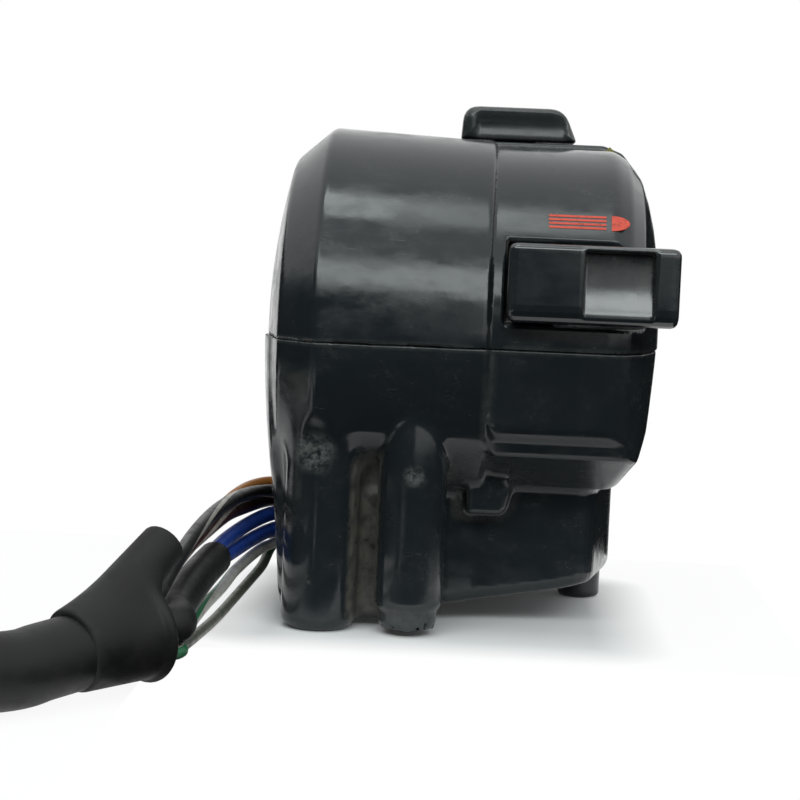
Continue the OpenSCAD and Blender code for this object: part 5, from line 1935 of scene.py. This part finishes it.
@dataclass
class InnerWorks:
    """Springs and small screws made by Geometry Nodes, and the finishes of the CAD pieces that stay."""

    kept: dict[str, str] = field(default_factory=lambda: {
        "case_screws": "zinc_steel", "screw_washers": "zinc_steel", "threaded_inserts": "contact_brass",
        "flash_pivot_pin": "bright_steel", "flash_base": "phenolic_board", "flash_contacts": "contact_brass",
        "dimmer_carrier": "carrier_nylon", "dimmer_bridge": "contact_brass", "dimmer_ball": "bright_steel",
        "dimmer_board": "phenolic_board", "dimmer_contacts": "contact_brass",
        "turn_carrier": "carrier_nylon", "turn_bridge": "contact_brass", "turn_ball": "bright_steel",
        "turn_board": "phenolic_board", "turn_contacts": "contact_brass", "horn_bridge": "contact_brass",
        "horn_clip": "bright_steel", "horn_base": "phenolic_board", "horn_contacts": "contact_brass",
        "terminal_block": "terminal_plastic", "outlet_grommet": "grommet_rubber",
        "connector_pins": "contact_brass",
    })

    def spring_tree(self) -> Tree:
        """Node tree of a coil spring along Z: a spiral swept with a round wire.

        Returns:
            The tree.
        """
        g = Growth("coil_spring", [(name, "Float") for name in ("Turns", "Radius", "Length", "Wire Radius")])
        radius = g.given["Radius"]
        spiral = g.node("CurveSpiral", Resolution=28, Rotations=g.given["Turns"], Start_Radius=radius,
                        End_Radius=radius, Height=g.given["Length"])
        ring = g.node("CurvePrimitiveCircle", Resolution=10, Radius=g.given["Wire Radius"])
        sweep = g.node("CurveToMesh", Curve=spiral.outputs[0], Profile_Curve=ring.outputs[0], Fill_Caps=True)
        return g.end(g.node("SetShadeSmooth", sweep.outputs[0]).outputs[0])

    def settle(self, name: str, holder: Piece, place: Matrix) -> Piece:
        """Turns a modifier's result into a plain mesh at its place.

        Args:
            name: Name of the piece.
            holder: Object with the modifier, which is removed.
            place: Where the result goes.

        Returns:
            The piece.
        """
        depsgraph = bpy.context.evaluated_depsgraph_get()
        mesh = bpy.data.meshes.new_from_object(holder.evaluated_get(depsgraph))
        mesh.name = name
        mesh.transform(place)
        holder.modifiers.clear()
        bpy.data.objects.remove(holder)
        return linked(name, mesh)

    def holder(self, name: str, tree: Tree, mesh: bpy.types.Mesh,
               values: dict[str, object]) -> Piece:
        """Object with a node tree on it, and the tree's named inputs set.

        Args:
            name: Name to use.
            tree: The node tree.
            mesh: Mesh that the tree starts from.
            values: Values by input name.

        Returns:
            The object.
        """
        made = linked(name, mesh)
        modifier = made.modifiers.new("shape", "NODES")
        modifier.node_group = tree
        for item in tree.interface.items_tree:
            if item.in_out == "INPUT" and item.name in values:
                modifier[item.identifier] = values[item.name]
        return made

    def build_springs(self, paints: Paintbox) -> None:
        """Makes the five springs.

        Args:
            paints: The finishes.
        """
        tree = self.spring_tree()
        along_y = Matrix.Rotation(math.radians(-90.0), 4, "X")
        flash, turn, horn = (19.5, -27.3, 8.55), (2.0, 16.7, 8.0), (-2.0, 14.3, -13.0)
        springs = (
            CoilSpring("flash_spring", Body.CASE, flash, 1.9, 0.45, 4.0, 5.4,
                       joint="flash_press", anchor=(19.5, -21.9, 8.55), keep=0.74),
            CoilSpring("turn_push_spring", Body.TURN_SLIDE, turn, 1.7, 0.35, 2.0, 3.0,
                       joint="turn_cancel_push", anchor=turn, keep=0.31),
            CoilSpring("horn_spring", Body.CASE, horn, 3.2, 0.6, 2.5, 4.7,
                       joint="horn_push", anchor=horn, keep=0.45),
            CoilSpring("dimmer_ball_spring", Body.DIMMER, (1.6, 13.0, 20.9), 0.85, 0.3, 2.0, 1.8, lies=False),
            CoilSpring("turn_ball_spring", Body.TURN_SLIDE, (2.0, 16.3, 3.7), 0.85, 0.3, 4.0, 3.7),
        )
        for s in springs:
            values = {"Turns": s.turns, "Radius": s.radius * MM, "Length": (s.length - s.wire) * MM,
                      "Wire Radius": s.wire / 2 * MM, "Finish": paints["spring_steel"]}
            holder = self.holder(s.node + "_holder", tree, bpy.data.meshes.new(s.node + "_seed"), values)
            heading = along_y if s.lies else Matrix.Identity(4)
            lift = Matrix.Translation((0, 0, s.wire / 2 * MM))
            place = Matrix.Translation(Vector(s.foot) * MM) @ heading @ lift
            piece = self.settle(s.node + "_coil", holder, place)
            place_piece(piece, s.body, "spring_steel", s.node)
            if s.joint:
                Vector(s.anchor) * MM
                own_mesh(piece)

    def screw_seed(self) -> Piece:
        """Small pan-head screw of unit shank length, head down, with a cross slot.

        Returns:
            The head.
        """
        def solid(x: Array, y: Array, z: Array) -> Array:
            """Field of the head.

            Args:
                x: Places along the bar.
                y: Places across it.
                z: Heights.

            Returns:
                Signed distances.
            """
            off = np.hypot(x, y)
            head = rod_field(off, z, 1.36, -0.9, 0.0, 0.35)
            slot = np.minimum(np.maximum(np.abs(x) - 0.16, np.abs(y) - 0.9),
                              np.maximum(np.abs(y) - 0.16, np.abs(x) - 0.9))
            return np.maximum(head, -np.maximum(slot, z + 0.45))

        skin = skin_of(solid, (-1.4, -1.4, -0.9), (1.4, 1.4, 0.0), 0.1)
        seed = bpy.data.meshes.new("screw_head")
        seed.from_pydata((skin.points * MM).tolist(), [], skin.faces)
        seed.polygons.foreach_set("use_smooth", np.ones(len(seed.polygons), bool))
        return linked("screw_head", seed)

    def screw_tree(self) -> Tree:
        """Node tree that sets a head and a shank on each point, by the point's own turn and length.

        Returns:
            The tree.
        """
        g = Growth("base_screw_set", [("Head", "Object"), ("Shank Radius", "Float")])
        points = g.node("MeshToPoints", g.given["Geometry"]).outputs[0]
        turn, size = g.point_vector("turn"), g.point_vector("shank")
        head = g.node("ObjectInfo", Object=g.given["Head"]).outputs["Geometry"]
        heads = g.node("InstanceOnPoints", points, Instance=head, Rotation=turn)
        rod = g.node("MeshCylinder", Vertices=20, Depth=MM, Radius=g.given["Shank Radius"])
        lift = g.node("Transform", rod.outputs["Mesh"], Translation=(0.0, 0.0, 0.5 * MM))
        shanks = g.node("InstanceOnPoints", points, Instance=lift.outputs[0], Rotation=turn, Scale=size)
        return g.end(g.node("JoinGeometry", heads.outputs[0], shanks.outputs[0]).outputs[0])

    def build_screws(self, paints: Paintbox) -> None:
        """Makes the small screws of the switch bases as one piece.

        Args:
            paints: The finishes.
        """
        rear, over = (-math.pi / 2, 0.0, 0.0), (math.pi, 0.0, 0.0)
        rows = [((x, 12.4, 8.0), rear, 4.5) for x in (-11.5, 15.5)]
        rows += [((x, 16.6, 16.9), (0.0, 0.0, 0.0), 4.5) for x in (-2.3, 18.7)]
        rows += [((x, 12.8, -13.0), rear, 4.5) for x in (-11.0, 7.0)]
        rows += [((x, -13.4, 4.4), (0.0, 0.0, 0.0), 12.4) for x in (11.8, 15.5)]
        rows += [((-8.0, y, -20.6), over, 13.6) for y in (-0.5, 7.0)]
        mesh = bpy.data.meshes.new("base_screw_places")
        mesh.from_pydata([tuple(v * MM for v in row[0]) for row in rows], [], [])
        turns = mesh.attributes.new("turn", "FLOAT_VECTOR", "POINT")
        sizes = mesh.attributes.new("shank", "FLOAT_VECTOR", "POINT")
        turns.data.foreach_set("vector", np.array([row[1] for row in rows], np.float32).ravel())
        sizes.data.foreach_set("vector", np.array([(1.0, 1.0, row[2]) for row in rows], np.float32).ravel())
        seed = self.screw_seed()
        holder = self.holder("base_screw_holder", self.screw_tree(), mesh,
                             {"Head": seed, "Shank Radius": 0.75 * MM, "Finish": paints["zinc_steel"]})
        piece = self.settle("base_screw_set", holder, Matrix.Identity(4))
        bpy.data.objects.remove(seed)
        place_piece(piece, Body.CASE, "zinc_steel", "base_screws")

    def dress(self, paints: Paintbox, nodes: dict) -> None:
        """Gives each CAD piece that stays its finish.

        Args:
            paints: The finishes.
            nodes: The CAD pieces by node name.
        """
        for node, finish in self.kept.items():
            materials = nodes[node].data.materials
            materials.clear()
            materials.append(paints[finish])


@dataclass
class Studio:
    """Camera, floor, world and lights."""

    azimuth: float = 2.4
    elevation: float = 5.0
    roll: float = 2.4
    target: tuple = (-8.3, 0.0, -9.2)
    distance: float = 285.0
    focal_px: float = 2052.0
    image_px: float = 800.0
    sensor: float = 36.0
    floor_z: float = -37.4
    floor_x: tuple = (-190.0, -34.0, 48.0)
    floor_y: tuple = (-125.0, -38.0, 48.0)
    # Painted shadow patch on the floor under the object: its middle, half size and fade, in millimetres.
    painted_shadow_middle: tuple = (-2.0, -3.5)
    painted_shadow_half: tuple = (21.0, 22.5)
    painted_shadow_fade: float = 10.0
    edge_fade: tuple = (28.0, 47.0)
    flag_radius: float = 700.0
    panel_radius: float = 690.0

    def camera(self) -> None:
        """Sets the camera at the photograph's place."""
        a, e, r = (math.radians(v) for v in (self.azimuth, self.elevation, self.roll))
        back = Vector((math.sin(a) * math.cos(e), -math.cos(a) * math.cos(e), math.sin(e)))
        right = Vector((math.cos(a), math.sin(a), 0.0))
        up = Vector((-math.sin(a) * math.sin(e), math.cos(a) * math.sin(e), math.cos(e)))
        tilted = right * math.cos(r) + up * math.sin(r)
        upright = up * math.cos(r) - right * math.sin(r)
        place = (Vector(self.target) + back * self.distance) * MM
        data = bpy.data.cameras.new("camera")
        data.sensor_width = self.sensor
        data.lens = self.focal_px / self.image_px * self.sensor
        data.clip_start, data.clip_end = 0.01, 20.0
        made = bpy.data.objects.new("camera", data)
        made.matrix_world = Matrix((
            (tilted.x, upright.x, back.x, place.x), (tilted.y, upright.y, back.y, place.y),
            (tilted.z, upright.z, back.z, place.z), (0.0, 0.0, 0.0, 1.0)))
        bpy.context.scene.collection.objects.link(made)
        bpy.context.scene.camera = made

    def seen_share(self, tree: Tree) -> Socket:
        """One for rays that show the background: camera, glossy and transmission rays.

        Args:
            tree: The node tree.

        Returns:
            The share's socket.
        """
        path = tree.nodes.new("ShaderNodeLightPath")
        total = path.outputs["Is Camera Ray"]
        for name in ("Is Glossy Ray", "Is Transmission Ray"):
            node = tree.nodes.new("ShaderNodeMath")
            node.operation = "MAXIMUM"
            tree.links.new(total, node.inputs[0])
            tree.links.new(path.outputs[name], node.inputs[1])
            total = node.outputs[0]
        return total

    def world(self) -> None:
        """White background, with plain grey light on the object."""
        world = bpy.data.worlds.new("studio")
        world.use_nodes = True
        tree = world.node_tree
        tree.nodes.clear()
        seen, light = tree.nodes.new("ShaderNodeBackground"), tree.nodes.new("ShaderNodeBackground")
        seen.inputs[0].default_value = (1.0, 1.0, 1.0, 1.0)
        light.inputs[0].default_value = (0.47, 0.48, 0.49, 1.0)
        pick, out = tree.nodes.new("ShaderNodeMixShader"), tree.nodes.new("ShaderNodeOutputWorld")
        tree.links.new(self.seen_share(tree), pick.inputs[0])
        tree.links.new(light.outputs[0], pick.inputs[1])
        tree.links.new(seen.outputs[0], pick.inputs[2])
        tree.links.new(pick.outputs[0], out.inputs[0])
        bpy.context.scene.world = world

    def staged(self, name: str, points: list, faces: list, material: Material) -> Piece:
        """Makes one piece of the stage, in millimetres.

        Args:
            name: Name to use.
            points: Corners in millimetres.
            faces: Faces by corner number.
            material: Its surface.

        Returns:
            The object.
        """
        mesh = bpy.data.meshes.new(name)
        mesh.from_pydata([tuple(v * MM for v in p) for p in points], [], faces)
        mesh.materials.append(material)
        made = linked(name, mesh)
        return made

    def floor(self) -> None:
        """Pale plate under the object that shows white and keeps its shadow, with a painted shadow patch that
        is darkest close under the object.
        """
        s = Shade("studio_floor")
        s.set(Base_Color=ink((0.90, 0.90, 0.90)), Roughness=1.0, Specular_IOR_Level=0.0)
        parts = s.tree.nodes.new("ShaderNodeSeparateXYZ")
        s.feed(parts.inputs[0], s.place)
        gaps = []
        for axis, (middle, half) in enumerate(zip(self.painted_shadow_middle, self.painted_shadow_half)):
            away = s.sum("ABSOLUTE", s.sum("SUBTRACT", parts.outputs[axis], middle * MM), 0.0)
            gap = s.sum("MAXIMUM", s.sum("SUBTRACT", away, half * MM), 0.0)
            gaps.append(s.sum("MULTIPLY", gap, gap))
        gap = s.sum("SQRT", s.sum("ADD", *gaps), 0.0)
        # Painted shadow: the floor's white glow drops to 0.02 inside the patch under the object, so the floor
        # there is darker, also in reflections.
        share = s.span(gap, 0.0, self.painted_shadow_fade * MM, 0.02, 0.90)
        front = s.sum("MULTIPLY", s.span(parts.outputs[1], -37.5 * MM, -33.0 * MM, 1.0, 0.0),
                      s.span(parts.outputs[0], -44.0 * MM, -30.0 * MM))
        starts, ends = (v * MM for v in self.edge_fade)
        fades = [s.span(parts.outputs[axis], starts, ends) for axis in (0, 1)]
        for fade in (front, *fades):
            share = s.sum("MAXIMUM", share, fade)
        share = s.sum("MULTIPLY", share, self.seen_share(s.tree))
        glow, pick = s.tree.nodes.new("ShaderNodeEmission"), s.tree.nodes.new("ShaderNodeMixShader")
        glow.inputs[0].default_value = (1.02, 1.02, 1.02, 1.0)
        s.feed(pick.inputs[0], share)
        s.feed(pick.inputs[1], s.shader.outputs[0])
        s.feed(pick.inputs[2], glow.outputs[0])
        s.feed(s.tree.nodes["Material Output"].inputs[0], pick.outputs[0])
        z = self.floor_z - 0.02
        (x0, x1, x2), (y0, y1, y2) = self.floor_x, self.floor_y
        points = [(x0, y0, z), (x1, y0, z), (x1, y1, z), (x2, y1, z), (x2, y2, z), (x1, y2, z), (x0, y2, z),
                  (x0, y1, z)]
        self.staged("studio_floor", points, [(0, 1, 2, 7), (7, 2, 5, 6), (2, 3, 4, 5)], s.material)

    def card(self, name: str, low: float, high: float, left: float, right: float, radius: float,
             material: Material) -> None:
        """Curved card round the object, which the camera doesn't see.

        Args:
            name: Name of the card.
            low: Lowest elevation.
            high: Highest elevation.
            left: First azimuth, from the front.
            right: Last azimuth.
            radius: Distance from the object, in millimetres.
            material: Its surface.
        """
        turns = np.radians(np.linspace(left, right, 33))
        lifts = np.radians(np.linspace(low, high, 7))
        points = [(radius * math.sin(a) * math.cos(e), -radius * math.cos(a) * math.cos(e),
                   radius * math.sin(e)) for e in lifts for a in turns]
        n = len(turns)
        faces = [(i * n + k, i * n + k + 1, (i + 1) * n + k + 1, (i + 1) * n + k)
                 for i in range(len(lifts) - 1) for k in range(n - 1)]
        made = self.staged(name, points, faces, material)
        made.visible_camera = False

    def surface(self, name: str, colour: Colour, glow: float) -> Material:
        """Dark flag or bright panel.

        Args:
            name: Name to use.
            colour: Base colour.
            glow: Strength of its light, or 0.

        Returns:
            The material.
        """
        s = Shade(name)
        s.set(Base_Color=ink(colour), Roughness=0.9, Specular_IOR_Level=0.0)
        if glow > 0:
            s.set(Emission_Color=(0.93, 1.0, 0.985, 1.0), Emission_Strength=glow)
        return s.material

    def light(self) -> None:
        """Dark flags and bright panels that the gloss picks up as bands."""
        dark = self.surface("flag_black", (0.02, 0.02, 0.02), 0.0)
        low = self.surface("panel_low", (0.8, 0.8, 0.8), 4.6)
        high = self.surface("panel_high", (0.8, 0.8, 0.8), 5.2)
        side = self.surface("panel_side", (0.8, 0.8, 0.8), 2.8)
        self.card("flag_front", -75.0, 3.0, -138.0, 95.0, self.flag_radius, dark)
        self.card("flag_left", 3.0, 27.4, -80.0, 4.2, self.flag_radius, dark)
        self.card("flag_aside", 3.0, 16.0, -138.0, -80.0, self.flag_radius, dark)
        self.card("flag_right", -75.0, 12.0, 95.0, 168.0, self.flag_radius, dark)
        self.card("panel_left", 27.4, 42.0, -42.0, 4.2, self.panel_radius, low)
        self.card("panel_right", 23.0, 41.0, 4.2, 42.0, self.panel_radius, low)
        self.card("panel_upper", 68.0, 84.0, -70.0, 4.0, self.panel_radius, high)
        self.card("panel_aside", 66.0, 82.0, 4.0, 40.0, self.panel_radius, side)

    def build(self) -> None:
        """Sets the whole studio."""
        bpy.context.scene.view_settings.view_transform = "Standard"
        self.camera()
        self.world()
        self.floor()
        self.light()


def main() -> None:
    """Builds the cluster and its studio."""
    logging.basicConfig(level=logging.INFO, format="%(name)s: %(message)s")
    for left in list(bpy.data.objects):
        bpy.data.objects.remove(left)
    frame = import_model()
    paints = Paintbox()
    paints.mix_all()
    Studio().build()
    harness = Harness()
    harness.build_wires(paints)
    harness.build_sheath(paints)
    CaseShell().build(paints)
    FlashTrigger().build(paints)
    DimmerSlider().build(paints)
    RiderControls().build(paints)
    Markings().build(paints)
    works = InnerWorks()
    works.build_springs(paints)
    works.build_screws(paints)
    works.dress(paints, frame["nodes"])


if __name__ == "__main__":
    main()
